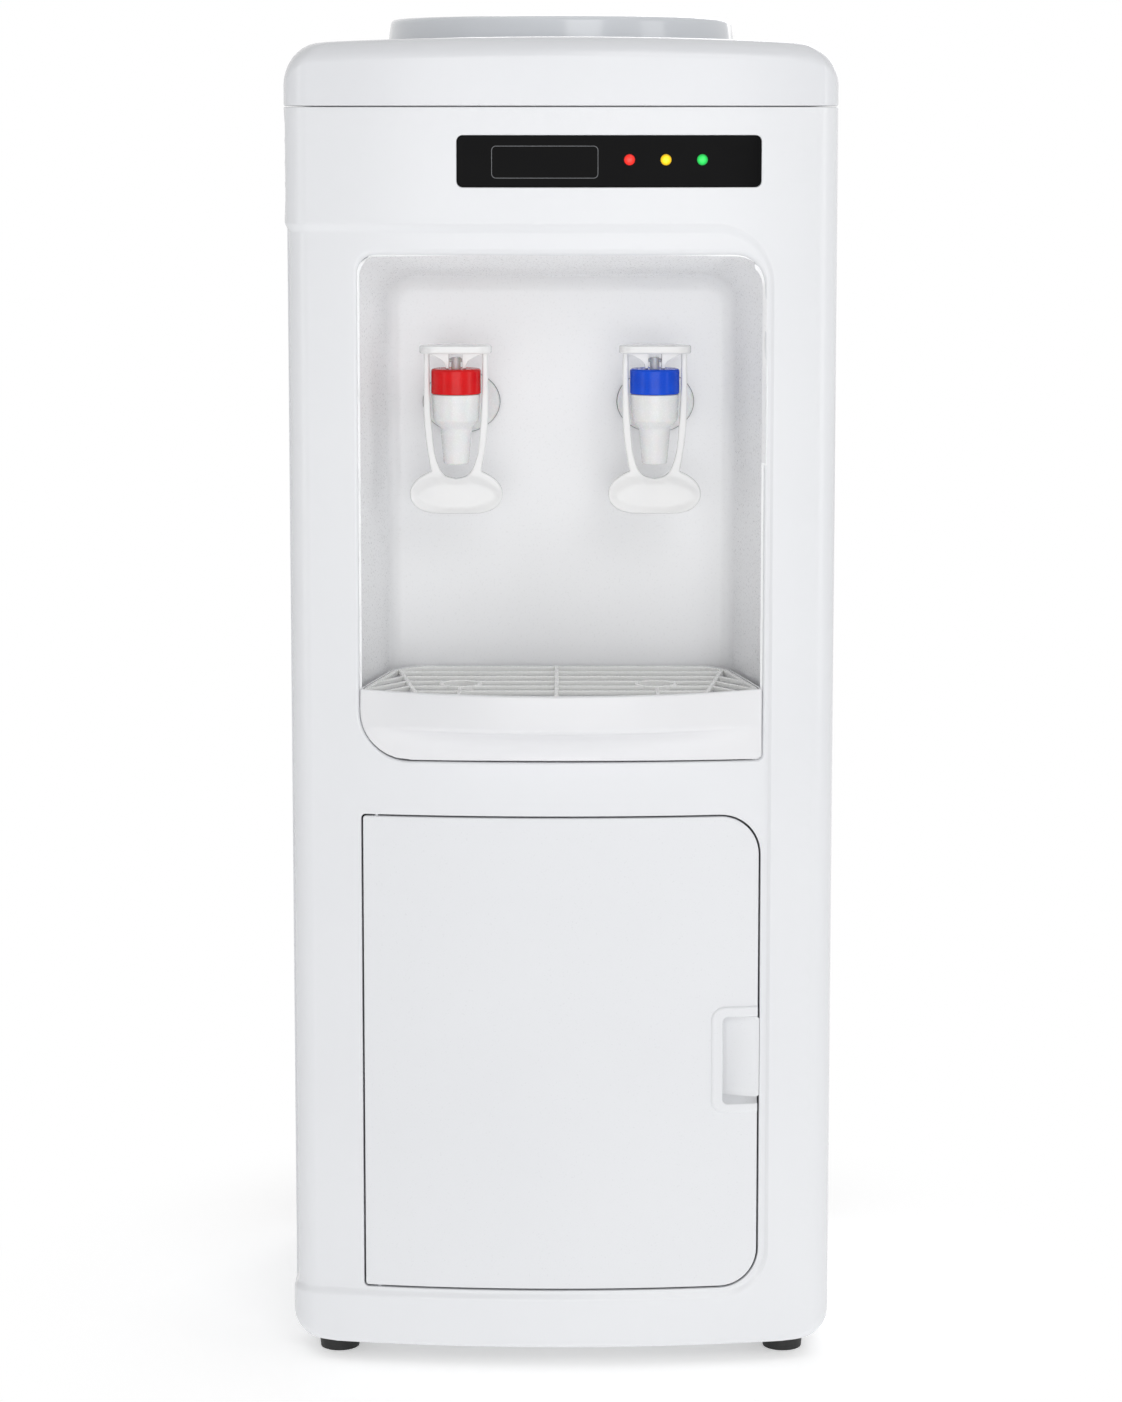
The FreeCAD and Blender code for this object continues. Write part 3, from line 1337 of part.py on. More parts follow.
def suction_hole(height):
    """The hole that lets the suction tube through a deck."""
    return rod("suction_hole", "z", ("compressor_x", "suction_place", height), "condenser_tube + 4",
               "20")


def make_cold_side():
    """Cold tank under the bottle seat, its evaporator, and the foam that holds both."""
    centre = ("0", "seat_place")
    can = tank("cold_can", "cold_tank_radius", "cold_tank_base", "cold_tank_top", centre,
               "neck_radius + moulding_wall + 2")
    spout = nipple("cold_spout", "z", ("cold_tap_x", "spout_y", "foam_base - nipple_length"),
                   "foam_floor + nipple_length + tank_gauge / 2")
    feed = nipple("feed_spout", "z", ("0", "feed_y", "foam_base - nipple_length"),
                  "foam_floor + nipple_length + tank_gauge / 2")
    node("cold_tank", fuse("cold_tank", can, spout, feed))
    node("evaporator_coil", tube("evaporator_coil", "z", (*centre, "cold_tank_base + 10"),
                                 "cold_tank_radius + 6.3", "cold_tank_radius + fit_gap", "54"))
    block = rod("foam_block", "z", (*centre, "foam_base"), "foam_radius", "foam_top - foam_base")
    room = rod("foam_room", "z", (*centre, "cold_tank_base - fit_gap"),
               "cold_tank_radius + 6.6", "cold_tank_top - cold_tank_base + 2 * fit_gap")
    mouth = rod("foam_mouth", "z", (*centre, "cold_tank_top - 5"), "neck_radius + moulding_wall + 2",
                "30")
    holes = [rod("foam_hole", "z", ("cold_tap_x", "spout_y", "foam_base - 5"),
                 "nipple_radius + fit_gap", "30"),
             rod("foam_hole", "z", ("0", "feed_y", "foam_base - 5"),
                 "nipple_radius + fit_gap", "30")]
    node("cold_tank_foam", cut("cold_tank_foam", block, room, mouth, *holes))
    deck = box("bracket_deck", ("-side_inner + fit_gap", "side_inner - fit_gap"),
               ("niche_rear - 12", "rear_panel_front - fit_gap"),
               ("bracket_height", "foam_base - fit_gap"))
    lightening = rod("bracket_hole", "z", ("0", "seat_place + 12", "bracket_height - 5"), "70", "20")
    spout_hole = rod("bracket_slot", "z", ("cold_tap_x", "spout_y", "bracket_height - 5"),
                     "9", "20")
    node("tank_bracket", cut("tank_bracket", deck, lightening, spout_hole,
                             suction_hole("bracket_height - 5")))


def make_hot_side():
    """Hot tank with its band heater and cut-outs on a stand over the shelf, and the drain."""
    centre = ("0", "hot_tank_place")
    can = tank("hot_can", "hot_tank_radius", "hot_tank_base", "hot_tank_top", centre)
    inlet = nipple("hot_inlet", "z", ("0", "feed_y", "hot_tank_top - tank_gauge / 2"),
                   "nipple_length")
    outlet = nipple("hot_outlet", "x", ("-hot_tank_radius - 5", "hot_tank_place", "tap_pipe_height"),
                    "7")
    node("hot_tank", fuse("hot_tank", can, inlet, outlet))
    node("band_heater", tube("band_heater", "z", (*centre, "hot_tank_base + heater_rise"),
                             "hot_tank_radius + 4", "hot_tank_radius + fit_gap", "heater_height"))
    cutouts = [rod("cutout", "y", ("0", "hot_tank_place + hot_tank_radius + fit_gap",
                                   f"hot_tank_base + {share} * hot_tank_height"), "9", "8")
               for share in ("23 / 35", "29 / 35")]
    node("hot_tank_cutouts", group("hot_tank_cutouts", cutouts))
    stand = tube("hot_stand_ring", "z", (*centre, "shelf_height + sheet_gauge"),
                 "hot_tank_radius - 5", "hot_tank_radius - 7",
                 "hot_tank_base - shelf_height - sheet_gauge - fit_gap")
    gap = box("stand_gap", ("-14", "14"), ("hot_tank_place", "cabinet_rear"),
              ("drain_height - 14", "drain_height + 40"))
    node("hot_tank_stand", cut("hot_tank_stand", stand, gap))
    shelf = box("shelf_sheet", ("-side_inner + fit_gap", "side_inner - fit_gap"),
                ("liner_back + fit_gap + 8", "rear_panel_front - fit_gap"),
                ("shelf_height", "shelf_height + sheet_gauge"))
    node("tank_shelf", cut("tank_shelf", shelf, suction_hole("shelf_height - 5")))
    drain_points = [("0", "hot_tank_place", "hot_tank_base - fit_gap"),
                    ("0", "hot_tank_place", "drain_height"),
                    ("0", "cabinet_rear + 12", "drain_height")]
    node("drain_pipe", pipe("drain_pipe", drain_points, "drain_radius", "hose_bend", "hose_bore"))
    cap_place = ("0", "cabinet_rear + 3", "drain_height")
    shell = rod("drain_cap_shell", "y", cap_place, "drain_radius + 3", "13")
    bore = rod("drain_cap_bore", "y", cap_place, "drain_radius + fit_gap / 3", "9.3")
    node("drain_cap", cut("drain_cap", shell, bore))


def make_hoses():
    """Silicone hoses: cold tank to cold tap, hot tank to hot tap, cold tank to hot tank."""
    start = "tail_end + fit_gap"
    cold = pipe("cold_hose", [("cold_tap_x", start, "tap_pipe_height"),
                              ("cold_tap_x", "spout_y", "tap_pipe_height"),
                              ("cold_tap_x", "spout_y", "foam_base - nipple_length - fit_gap")],
                "hose_radius", "hose_bend - 3", "hose_bore")
    hot = pipe("hot_hose", [("hot_tap_x", start, "tap_pipe_height"),
                            ("hot_tap_x", "hot_tank_place", "tap_pipe_height"),
                            ("-hot_tank_radius - 5 - fit_gap", "hot_tank_place", "tap_pipe_height")],
               "hose_radius", "hose_bend - 2", "hose_bore")
    feed_base = "hot_tank_top - tank_gauge / 2 + nipple_length + fit_gap"
    feed = tube("feed_hose", "z", ("0", "feed_y", feed_base), "hose_radius", "hose_bore",
                f"foam_base - nipple_length - fit_gap - ({feed_base})")
    node("water_hoses", group("water_hoses", [cold, hot, feed]))


# ---------------------------------------------------------------- refrigeration


def make_compressor():
    """The compressor's welded shell on its foot plate, with rubber grommets under the plate."""
    x = "compressor_x"
    foot = "pan_top + compressor_rise"
    plate = box("compressor_plate", (f"{x} - 75", f"{x} + 75"),
                ("compressor_place - 40", "compressor_place + 40"), (foot, f"{foot} + 2.5"))
    top = "compressor_top"
    corners = [("0", f"{foot} + 1"), ("compressor_radius - 14", f"{foot} + 1"),
               ("compressor_radius", f"{foot} + 15"), ("compressor_radius", f"{top} - 44"),
               ("compressor_radius - 34", f"{top} - 2"), ("compressor_radius - 38", top), ("0", top)]
    shell = turned("compressor_shell", corners, (x, "compressor_place"), {1: "16", 3: "48"})
    node("compressor", fuse("compressor", plate, shell))
    grommets = []
    for side_x in (-66, 66):
        for side_y in (-30, 30):
            grommets.append(rod("grommet", "z", (f"{x} + {side_x}", f"compressor_place + {side_y}",
                                                 "pan_top"), "8", "compressor_rise"))
    node("compressor_grommets", group("compressor_grommets", grommets))


def make_condenser():
    """One serpentine tube, stiffened by upright wires on both faces, hung behind the cabinet."""
    corners = []
    for number in range(CONDENSER_RUNS):
        height = f"condenser_base + {number} * condenser_pitch"
        ends = ["-condenser_half", "condenser_half"]
        if number % 2:
            ends.reverse()
        corners += [(ends[0], "condenser_plane", height), (ends[1], "condenser_plane", height)]
    points = [Vector(*(size(value) for value in corner)) for corner in corners]
    turn = size("condenser_pitch") / 2
    edges = []
    for index in range(len(points) - 1):
        start, finish = points[index], points[index + 1]
        if index % 2 == 0:
            edges.append(Part.LineSegment(start, finish).toShape())
        else:
            outward = Vector(math.copysign(turn, start.x), 0, 0)
            edges.append(Part.Arc(start, (start + finish) * 0.5 + outward, finish).toShape())
    spine = Part.Wire(edges)
    ring = Part.Wire(Part.makeCircle(size("condenser_tube"), points[0], Vector(1, 0, 0)))
    result = doc.addObject("Part::Feature", "condenser_tube")
    result.Shape = spine.makePipeShell([ring], True, False)
    node("condenser_coil", result)
    span = f"{CONDENSER_RUNS - 1} * condenser_pitch"
    wires = []
    count = int(size("2 * condenser_half / wire_pitch"))
    for number in range(count + 1):
        x = f"-condenser_half + {number} * wire_pitch"
        for face in (-1, 1):
            y = f"condenser_plane + {face} * (condenser_tube + condenser_wire + wire_gap)"
            wires.append(rod("wire", "z", (x, y, "condenser_base - 12"), "condenser_wire",
                             f"{span} + 24"))
    node("condenser_wires", group("condenser_wires", wires))


def make_refrigerant_parts():
    """Filter drier, discharge tube to the condenser and suction tube from the evaporator."""
    drier = rod("filter_drier", "z", ("drier_x", "drier_y", "drier_base"), "drier_radius",
                "drier_length")
    side = "compressor_x + compressor_radius + fit_gap"
    behind = "cabinet_rear + 15"
    riser = "-condenser_half - 20"
    coil_end = "-condenser_half - fit_gap"
    discharge = pipe("discharge_tube", [
        (side, "compressor_place", "discharge_height"),
        ("discharge_x", "compressor_place", "discharge_height"),
        ("discharge_x", behind, "discharge_height"),
        ("discharge_x", behind, "rear_panel_base - gland_rise"),
        (riser, behind, "rear_panel_base - gland_rise"), (riser, behind, "condenser_top"),
        (riser, "condenser_plane", "condenser_top"), (coil_end, "condenser_plane", "condenser_top")],
        "condenser_tube", "6.5")
    drier_top = "drier_base + drier_length + fit_gap"
    liquid = pipe("liquid_tube", [
        (coil_end, "condenser_plane", "condenser_base"), (riser, "condenser_plane", "condenser_base"),
        (riser, "condenser_plane", f"{drier_top} + 22"),
        ("drier_x", "condenser_plane", f"{drier_top} + 22"),
        ("drier_x", "drier_y", f"{drier_top} + 22"), ("drier_x", "drier_y", drier_top)],
        "condenser_tube", "6.5")
    foam_side = "seat_place + sqrt(foam_radius^2 - compressor_x^2) + 2 * fit_gap"
    suction = pipe("suction_tube", [
        ("compressor_x", "compressor_place", "compressor_top + fit_gap"),
        ("compressor_x", "compressor_place", "compressor_top + 28"),
        ("compressor_x", "suction_place", "compressor_top + 28"),
        ("compressor_x", "suction_place", "foam_base + 40"),
        ("compressor_x", foam_side, "foam_base + 40")], "condenser_tube + 0.6", "12")
    node("refrigerant_tubes", group("refrigerant_tubes", [drier, discharge, liquid, suction]))


# ---------------------------------------------------------------- rear fittings


def make_rear_fittings():
    """Two rocker switches, the thermostat and its knob, the cord gland and the panel screws."""
    for label, x in (("hot_switch", "switch_x"), ("cold_switch", "switch_x - switch_spacing")):
        rocker = [("cabinet_rear - 7", "switch_z - switch_height / 2 + 2"),
                  ("cabinet_rear + 2.2", "switch_z - switch_height / 2 + 2"),
                  ("cabinet_rear + 0.8", "switch_z"),
                  ("cabinet_rear + 2.2", "switch_z + switch_height / 2 - 2"),
                  ("cabinet_rear - 7", "switch_z + switch_height / 2 - 2")]
        button = prism(label, "side", rocker, f"{x} - switch_width / 2 + 2",
                       f"{x} + switch_width / 2 - 2")
        pivot = Vector(0, size("cabinet_rear - switch_pivot"), size("switch_z"))
        tilt = Rotation(Vector(1, 0, 0), size("switch_tilt"))
        button.Placement = FreeCAD.Placement(Vector(), tilt, pivot)
        stub = "switch_pin_stub"
        pin = rod(f"{label}_pin", "x", (f"{x} - switch_width / 2 + 2 - {stub}",
                                        "cabinet_rear - switch_pivot", "switch_z"),
                  "switch_pin_radius", f"switch_width - 4 + 2 * {stub}")
        node(label, fuse(label, button, pin))
    frames = []
    for x in ("switch_x", "switch_x - switch_spacing"):
        wide = "switch_width / 2 - fit_gap / 3"
        tall = "switch_height / 2 - fit_gap / 3"
        outer = box("switch_frame", (f"{x} - ({wide})", f"{x} + {wide}"),
                    ("cabinet_rear - 14", "cabinet_rear + 0.6"),
                    (f"switch_z - ({tall})", f"switch_z + {tall}"))
        room = box("switch_room", (f"{x} - switch_width / 2 + 1.5", f"{x} + switch_width / 2 - 1.5"),
                   ("cabinet_rear - 11", "cabinet_rear + 5"),
                   ("switch_z - switch_height / 2 + 1", "switch_z + switch_height / 2 - 1"))
        frames.append(cut("switch_frame_cut", outer, room))
    node("switch_frames", group("switch_frames", frames))
    spindle = rod("thermostat_spindle", "y", ("knob_x", "cabinet_rear - 20", "switch_z"), "3", "28")
    case = box("thermostat_case", ("knob_x - 16", "knob_x + 16"),
               ("cabinet_rear - 34", "cabinet_rear - sheet_gauge - fit_gap"),
               ("switch_z - 12", "switch_z + 12"))
    node("thermostat", fuse("thermostat", case, spindle))
    skirt = rod("knob_skirt", "y", ("knob_x", "cabinet_rear + fit_gap", "switch_z"), "knob_radius", "4")
    grip = rod("knob_grip", "y", ("knob_x", "cabinet_rear + fit_gap", "switch_z"), "knob_radius - 3",
               "knob_height")
    bore = rod("knob_bore", "y", ("knob_x", "cabinet_rear - 5", "switch_z"), "3 + hinge_clearance", "14")
    mark = box("knob_mark", ("knob_x - 0.8", "knob_x + 0.8"),
               ("cabinet_rear + knob_height - 0.5", "cabinet_rear + 30"),
               ("switch_z + 1", "switch_z + knob_radius"))
    node("thermostat_knob", cut("thermostat_knob", fuse("knob_solid", skirt, grip), bore, mark))
    flange = rod("gland_flange", "y", ("gland_x", "cabinet_rear + fit_gap / 3", "gland_height"),
                 "9", "3")
    cone_part = cone("gland_nose", "y", ("gland_x", "cabinet_rear + 3", "gland_height"), "7",
                     "5", "14")
    gland_bore = rod("gland_bore", "y", ("gland_x", "cabinet_rear - 5", "gland_height"), "3", "40")
    node("cord_gland", cut("cord_gland", fuse("gland_solid", flange, cone_part), gland_bore))
    screws = []
    for x in ("screw_inset - half_width", "half_width - screw_inset"):
        for number in range(5):
            height = f"rear_panel_base + screw_margin + {number} * screw_spacing"
            screws.append(cone("screw", "y", (x, "cabinet_rear + 0.05", height), "screw_radius",
                               "screw_radius - 1.4", "2"))
    node("panel_screws", group("panel_screws", screws))


make_front_panel()
make_indicator()
make_niche_liner()
make_drip_tray()
make_drip_grille()
make_door()
make_door_handle()
make_compartment()
make_top_cover()
make_bottle_seat()
make_taps()
make_side_panel("side_panel_left", -1)
make_side_panel("side_panel_right", 1)
make_rear_panel()
make_base()
make_cold_side()
make_hot_side()
make_hoses()
make_compressor()
make_condenser()
make_refrigerant_parts()
make_rear_fittings()
doc.recompute()

failed = [item.Label for item in doc.Objects if {"Invalid", "Error"} & set(item.State)]
for label, item in nodes.items():
    shape = item.Shape
    if shape.isNull() or not shape.isValid() or not shape.Solids:
        failed.append(label)
if failed:
    raise RuntimeError("these did not build: " + ", ".join(failed))

os.makedirs("parts", exist_ok=True)
for label, item in nodes.items():
    item.Shape.exportStep(f"parts/{label}.step")
print(len(nodes), "nodes written")
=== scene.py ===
import math

import bpy
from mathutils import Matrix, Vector
from mathutils.geometry import delaunay_2d_cdt


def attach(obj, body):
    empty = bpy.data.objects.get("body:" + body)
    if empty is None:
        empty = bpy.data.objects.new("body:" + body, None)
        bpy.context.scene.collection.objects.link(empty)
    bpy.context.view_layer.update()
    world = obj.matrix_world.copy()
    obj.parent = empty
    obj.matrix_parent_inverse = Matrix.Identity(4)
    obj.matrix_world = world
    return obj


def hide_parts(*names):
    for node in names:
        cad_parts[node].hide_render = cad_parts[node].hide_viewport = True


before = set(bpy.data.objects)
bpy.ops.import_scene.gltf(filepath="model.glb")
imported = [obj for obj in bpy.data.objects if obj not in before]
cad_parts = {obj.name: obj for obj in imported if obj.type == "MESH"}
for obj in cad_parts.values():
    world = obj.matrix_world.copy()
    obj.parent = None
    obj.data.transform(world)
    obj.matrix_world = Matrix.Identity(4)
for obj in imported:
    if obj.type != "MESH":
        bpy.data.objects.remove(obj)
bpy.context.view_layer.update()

# ---------------------------------------------------------------- front panel
# One glossy white ABS moulding, 3 mm thick, that wraps the bowed front and both corners.
# It has a sunk layer that runs out round the left corner, and rolled edges at its openings.

HALF_WIDTH = 0.180
FRONT_REACH = 0.165
BOW = 0.019
BOW_RADIUS = (2 * HALF_WIDTH) ** 2 / (8 * BOW) + BOW / 2
BOW_CENTRE = BOW_RADIUS - FRONT_REACH
CORNER = 0.020
CORNER_X = HALF_WIDTH - CORNER
CORNER_Y = BOW_CENTRE - math.sqrt((BOW_RADIUS - CORNER) ** 2 - CORNER_X ** 2)
CORNER_TURN = math.asin(CORNER_X / (BOW_RADIUS - CORNER))
BOW_END = BOW_RADIUS * CORNER_TURN
CORNER_END = BOW_END + CORNER * (math.pi / 2 - CORNER_TURN)
PANEL_REAR = -0.110
PANEL_END = CORNER_END + PANEL_REAR - CORNER_Y
PANEL_BASE = 0.012
PANEL_TOP = 0.8342
WALL = 0.003
STEP_DEPTH = 0.0025
STEP_RUN = 0.007
CORNER_STEP = 0.0025


def along(x):
    """How far round the bow a point of the front lies, from its distance off the middle."""
    return BOW_RADIUS * math.asin(x / BOW_RADIUS)


def on_front(s, z, depth):
    """A point of the front at a depth below its face, with the outward and sideways directions."""
    side = math.copysign(1, s)
    reach = abs(s)
    if reach <= BOW_END:
        turn = reach / BOW_RADIUS
        x = (BOW_RADIUS - depth) * math.sin(turn)
        y = BOW_CENTRE - (BOW_RADIUS - depth) * math.cos(turn)
    elif reach <= CORNER_END:
        turn = CORNER_TURN + (reach - BOW_END) / CORNER
        x = CORNER_X + (CORNER - depth) * math.sin(turn)
        y = CORNER_Y - (CORNER - depth) * math.cos(turn)
    else:
        turn = math.pi / 2
        x = HALF_WIDTH - depth
        y = CORNER_Y + reach - CORNER_END
    out = Vector((side * math.sin(turn), -math.cos(turn), 0))
    return Vector((side * x, y, z)), out, Vector((-out.y, out.x, 0)), Vector((0, 0, 1))


def inside(point, loop):
    """Whether a point of the flat drawing lies inside a closed line."""
    x, y = point
    found = False
    last = loop[-1]
    for here in loop:
        if (here[1] > y) != (last[1] > y):
            if x < (last[0] - here[0]) * (y - here[1]) / (last[1] - here[1]) + here[0]:
                found = not found
        last = here
    return found


def near(point, loop, gap):
    """Whether a point of the flat drawing is closer than the gap to a closed line's corners."""
    return any(abs(point[0] - x) < gap and abs(point[1] - y) < gap for x, y in loop)


def within(point, loops):
    """Whether a point lies inside the first closed line and outside the others."""
    return inside(point, loops[0]) and not any(inside(point, loop) for loop in loops[1:])


def in_corner(s):
    """Whether the front turns tightly here, so that its points stand closer together."""
    return BOW_END - 0.004 < abs(s) < CORNER_END + 0.002


def eased(share):
    """A step from 0 to 1 that starts and ends level."""
    return share * share * (3 - 2 * share)


def split(start, finish, step):
    """Points along a straight run, closer together where the front turns its corner."""
    length = math.dist(start, finish)
    wide = abs(finish[0] - start[0]) > 0.5 * length
    done = 0.0
    points = []
    while done < length - 1e-9:
        share = done / length
        s = start[0] + (finish[0] - start[0]) * share
        points.append((s, start[1] + (finish[1] - start[1]) * share))
        tight = wide and in_corner(s)
        done += CORNER_STEP if tight else step
        if length - done < 0.35 * step and not tight:
            break
    return points


def corner_arcs(left, base, right, top, radii, turns):
    """The quarter circles of a rounded outline, as places with their outward directions.
    The radii are those of the lower left, lower right, upper right and upper left corners."""
    arcs = []
    corners = ((left, base, 180), (right, base, 270), (right, top, 0), (left, top, 90))
    for (x, y, start), radius in zip(corners, radii):
        cx = x + radius if x == left else x - radius
        cy = y + radius if y == base else y - radius
        arc = []
        for k in range(turns + 1):
            angle = math.radians(start + 90 * k / turns)
            away = math.cos(angle), math.sin(angle)
            arc.append(((cx + radius * away[0], cy + radius * away[1]), away))
        arcs.append(arc)
    return arcs


def rounded(left, base, right, top, radii, step=0.010, turns=12):
    """A closed outline with rounded corners, and its outward direction at each point."""
    points, away = [], []
    arcs = corner_arcs(left, base, right, top, radii, turns)
    for number, arc in enumerate(arcs):
        run = split(arc[-1][0], arcs[(number + 1) % 4][0][0], step)
        points += [place for place, _ in arc[:-1]] + run
        away += [direction for _, direction in arc[:-1]] + [arc[-1][1]] * len(run)
    return points, away


def limits(line):
    """The least and greatest place of a flat line, across and then up."""
    return [pick(p[axis] for p in line) for axis in (0, 1) for pick in (min, max)]


def triangles(flats, loops, numbers, filled=False):
    """Triangles over flat places, which begin with those of an outline and its holes. filled
    keeps all that the outline's edges enclose, without asking where each one lies."""
    edges, first = [], 0
    for loop in loops:
        edges += [(first + k, first + (k + 1) % len(loop)) for k in range(len(loop))]
        first += len(loop)
    made = delaunay_2d_cdt([Vector(p) for p in flats], edges, [], int(filled), 1e-7)
    owner = [numbers[ids[0]] for ids in made[3]]
    faces = []
    for face in made[2]:
        corner = [made[0][i] for i in face]
        if filled or within((corner[0] + corner[1] + corner[2]) / 3, loops):
            a, b, c = (owner[i] for i in face)
            area = (corner[1] - corner[0]).cross(corner[2] - corner[0])
            faces.append((a, b, c) if area > 0 else (a, c, b))
    return faces


class Moulding:
    """A sheet drawn flat, wrapped onto the front, with rolled edges and a wall thickness."""

    def __init__(self, wall=WALL):
        self.wall = wall
        self.places, self.normals, self.backs = [], [], []
        self.faces, self.back_faces, self.edge_faces = [], [], []

    def point(self, place, depth, lean=(0.0, 0.0), back=None):
        """Adds one point; lean is how far its normal tips sideways and up."""
        spot, out, side, up = on_front(*place, depth)
        normal = side * lean[0] + up * lean[1]
        normal += out * math.sqrt(max(0.0, 1 - lean[0] ** 2 - lean[1] ** 2))
        self.places.append(spot)
        self.normals.append(normal)
        if back is None:
            back = on_front(*place, depth + self.wall)[0]
        self.backs.append(back)
        return len(self.places) - 1

    def line(self, points, depth, lean=None):
        """Adds a line of points at one depth."""
        lean = lean or [(0.0, 0.0)] * len(points)
        return [self.point(p, depth, tip) for p, tip in zip(points, lean)]

    def fill(self, outline, holes, flat, depth, pitch=0.012, tall=0.014):
        """Fills an outline of made points with triangles, round its holes."""
        loops = [outline] + holes
        drawn = [[flat[i] for i in loop] for loop in loops]
        numbers = [i for loop in loops for i in loop]
        s, high_s, low_z, high_z = limits(drawn[0])
        while s < high_s:
            tight = in_corner(s)
            s += CORNER_STEP if tight else pitch
            step, gap = (0.005, 0.0022) if tight else (tall, 0.35 * pitch)
            for k in range(1, int((high_z - low_z) / step) + 1):
                spot = (s, low_z + k * step)
                if within(spot, drawn) and not any(near(spot, loop, gap) for loop in drawn):
                    numbers.append(self.point(spot, depth(*spot) if callable(depth) else depth))
                    flat[numbers[-1]] = spot
        made = triangles([flat[i] for i in numbers], drawn, numbers)
        self.faces += made
        self.back_faces += made

    def strip(self, first, second, closed=True, backed=True):
        """Quads between two lines of made points; the second lies to the left of the first."""
        count = len(first)
        for k in range(count if closed else count - 1):
            n = (k + 1) % count
            face = (first[k], first[n], second[n], second[k])
            self.faces.append(face)
            if backed:
                self.back_faces.append(face)

    def roll(self, roots, places, away, radii, depths, lip, turns=5, closed=True, flip=False):
        """Rolls the sheet's edge over and down to a lip, then closes it to the sheet's back."""
        rows = [roots]
        corners = list(zip(roots, places, away, radii, depths))
        for k in range(1, turns + 1):
            angle = math.radians(90 * k / turns)
            row = []
            for root, place, (ax, ay), radius, depth in corners:
                reach = radius * math.sin(angle)
                tilt = math.sin(angle) / math.hypot(ax, ay)
                row.append(self.point((place[0] + ax * reach, place[1] + ay * reach),
                                      depth + radius * (1 - math.cos(angle)),
                                      (ax * tilt, ay * tilt), self.backs[root]))
            rows.append(row)
        row = []
        for root, place, (ax, ay), radius, depth in corners:
            size = math.hypot(ax, ay)
            row.append(self.point((place[0] + ax * radius, place[1] + ay * radius),
                                  depth + max(lip, radius + 0.0001), (ax / size, ay / size),
                                  self.backs[root]))
        rows.append(row)
        for first, second in zip(rows, rows[1:]):
            self.strip(*((second, first) if flip else (first, second)), closed, False)
        count = len(roots)
        for k in range(count if closed else count - 1):
            n = (k + 1) % count
            face = (row[k], row[n], -1 - roots[n], -1 - roots[k])
            self.edge_faces.append(face[::-1] if flip else face)

    def mesh(self):
        """The finished closed mesh, with its normals as drawn."""
        used = sorted({i for face in self.back_faces for i in face}
                      | {-1 - i for face in self.edge_faces for i in face if i < 0})
        first = len(self.places)
        back = {number: first + k for k, number in enumerate(used)}
        places = self.places + [self.backs[i] for i in used]
        normals = self.normals + [-self.normals[i] for i in used]
        faces = list(self.faces)
        faces += [tuple(back[i] for i in face[::-1]) for face in self.back_faces]
        faces += [tuple(back[-1 - i] if i < 0 else i for i in face) for face in self.edge_faces]
        made = bpy.data.meshes.new("moulding")
        made.from_pydata(places, [], faces)
        made.polygons.foreach_set("use_smooth", [True] * len(made.polygons))
        flat = len(faces) - len(self.edge_faces)
        corners = []
        for number, face in enumerate(made.polygons):
            corners += [face.normal if number >= flat else normals[i] for i in face.vertices]
        made.normals_split_custom_set(corners)
        return made


def place_piece(name, mesh, material, slot, body, *nodes):
    """Puts a finished mesh in the scene as a piece that stands for CAD nodes."""
    mesh.name = name
    piece = bpy.data.objects.new(name, mesh)
    bpy.context.scene.collection.objects.link(piece)
    mesh.materials.clear()
    mesh.materials.append(material)
    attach(piece, body)
    if nodes:
        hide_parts(*nodes)
    return piece


def new_material(name):
    """An empty node material and its tree."""
    made = bpy.data.materials.new(name)
    made.use_nodes = True
    made.node_tree.nodes.clear()
    return made, made.node_tree


def add_node(tree, kind, **values):
    """A shader node. A value sets a property, or the input of its name or number; a node or
    one of its outputs is linked to the input."""
    made = tree.nodes.new("ShaderNode" + kind)
    for key, value in values.items():
        if hasattr(made, key):
            setattr(made, key, value)
            continue
        socket = made.inputs[int(key[1:]) if key[0] == "_" else key.replace("_", " ")]
        if isinstance(value, (bpy.types.Node, bpy.types.NodeSocket)):
            tree.links.new(getattr(value, "outputs", [value])[0], socket)
        else:
            socket.default_value = value
    return made


def colour_ramp(tree, value, *stops):
    """Colours between stops, each a position and a colour."""
    made = add_node(tree, "ValToRGB", Fac=value)
    ends = made.color_ramp.elements
    for stop, (position, colour) in zip((ends[0], ends[1]), (stops[0], stops[-1])):
        stop.position = position
        stop.color = (*colour, 1)
    for position, colour in stops[1:-1]:
        ends.new(position).color = (*colour, 1)
    return made


def surface(name, light, dark, blotch, gloss, grain, bump, metal=0.0, stretch=(1, 1, 1),
            **values):
    """A finish whose tone drifts between two colours, with its own grain in gloss and relief.
    blotch and grain are the sizes of a patch and of a grain, in metres; gloss is a range."""
    made, tree = new_material(name)
    place = add_node(tree, "TexCoord").outputs["Object"]
    sized = add_node(tree, "Mapping", Vector=place, Scale=stretch)
    patches = add_node(tree, "TexNoise", Vector=sized, Scale=1 / blotch, Detail=3.0)
    grains = add_node(tree, "TexNoise", Vector=sized, Scale=1 / grain, Detail=2.0)
    tone = colour_ramp(tree, patches, (0.35, dark), (0.65, light))
    shine = add_node(tree, "MapRange", Value=grains, To_Min=gloss[0], To_Max=gloss[1],
                     From_Min=0.3, From_Max=0.7)
    relief = add_node(tree, "Bump", Height=grains, Strength=bump[0], Distance=bump[1])
    shader = add_node(tree, "BsdfPrincipled", Base_Color=tone, Roughness=shine, Normal=relief,
                      Metallic=metal, **values)
    add_node(tree, "OutputMaterial", Surface=shader)
    return made


def finish_nodes(material, *names):
    """Gives CAD nodes their finish."""
    for name in names:
        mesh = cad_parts[name].data
        mesh.materials.clear()
        mesh.materials.append(material)


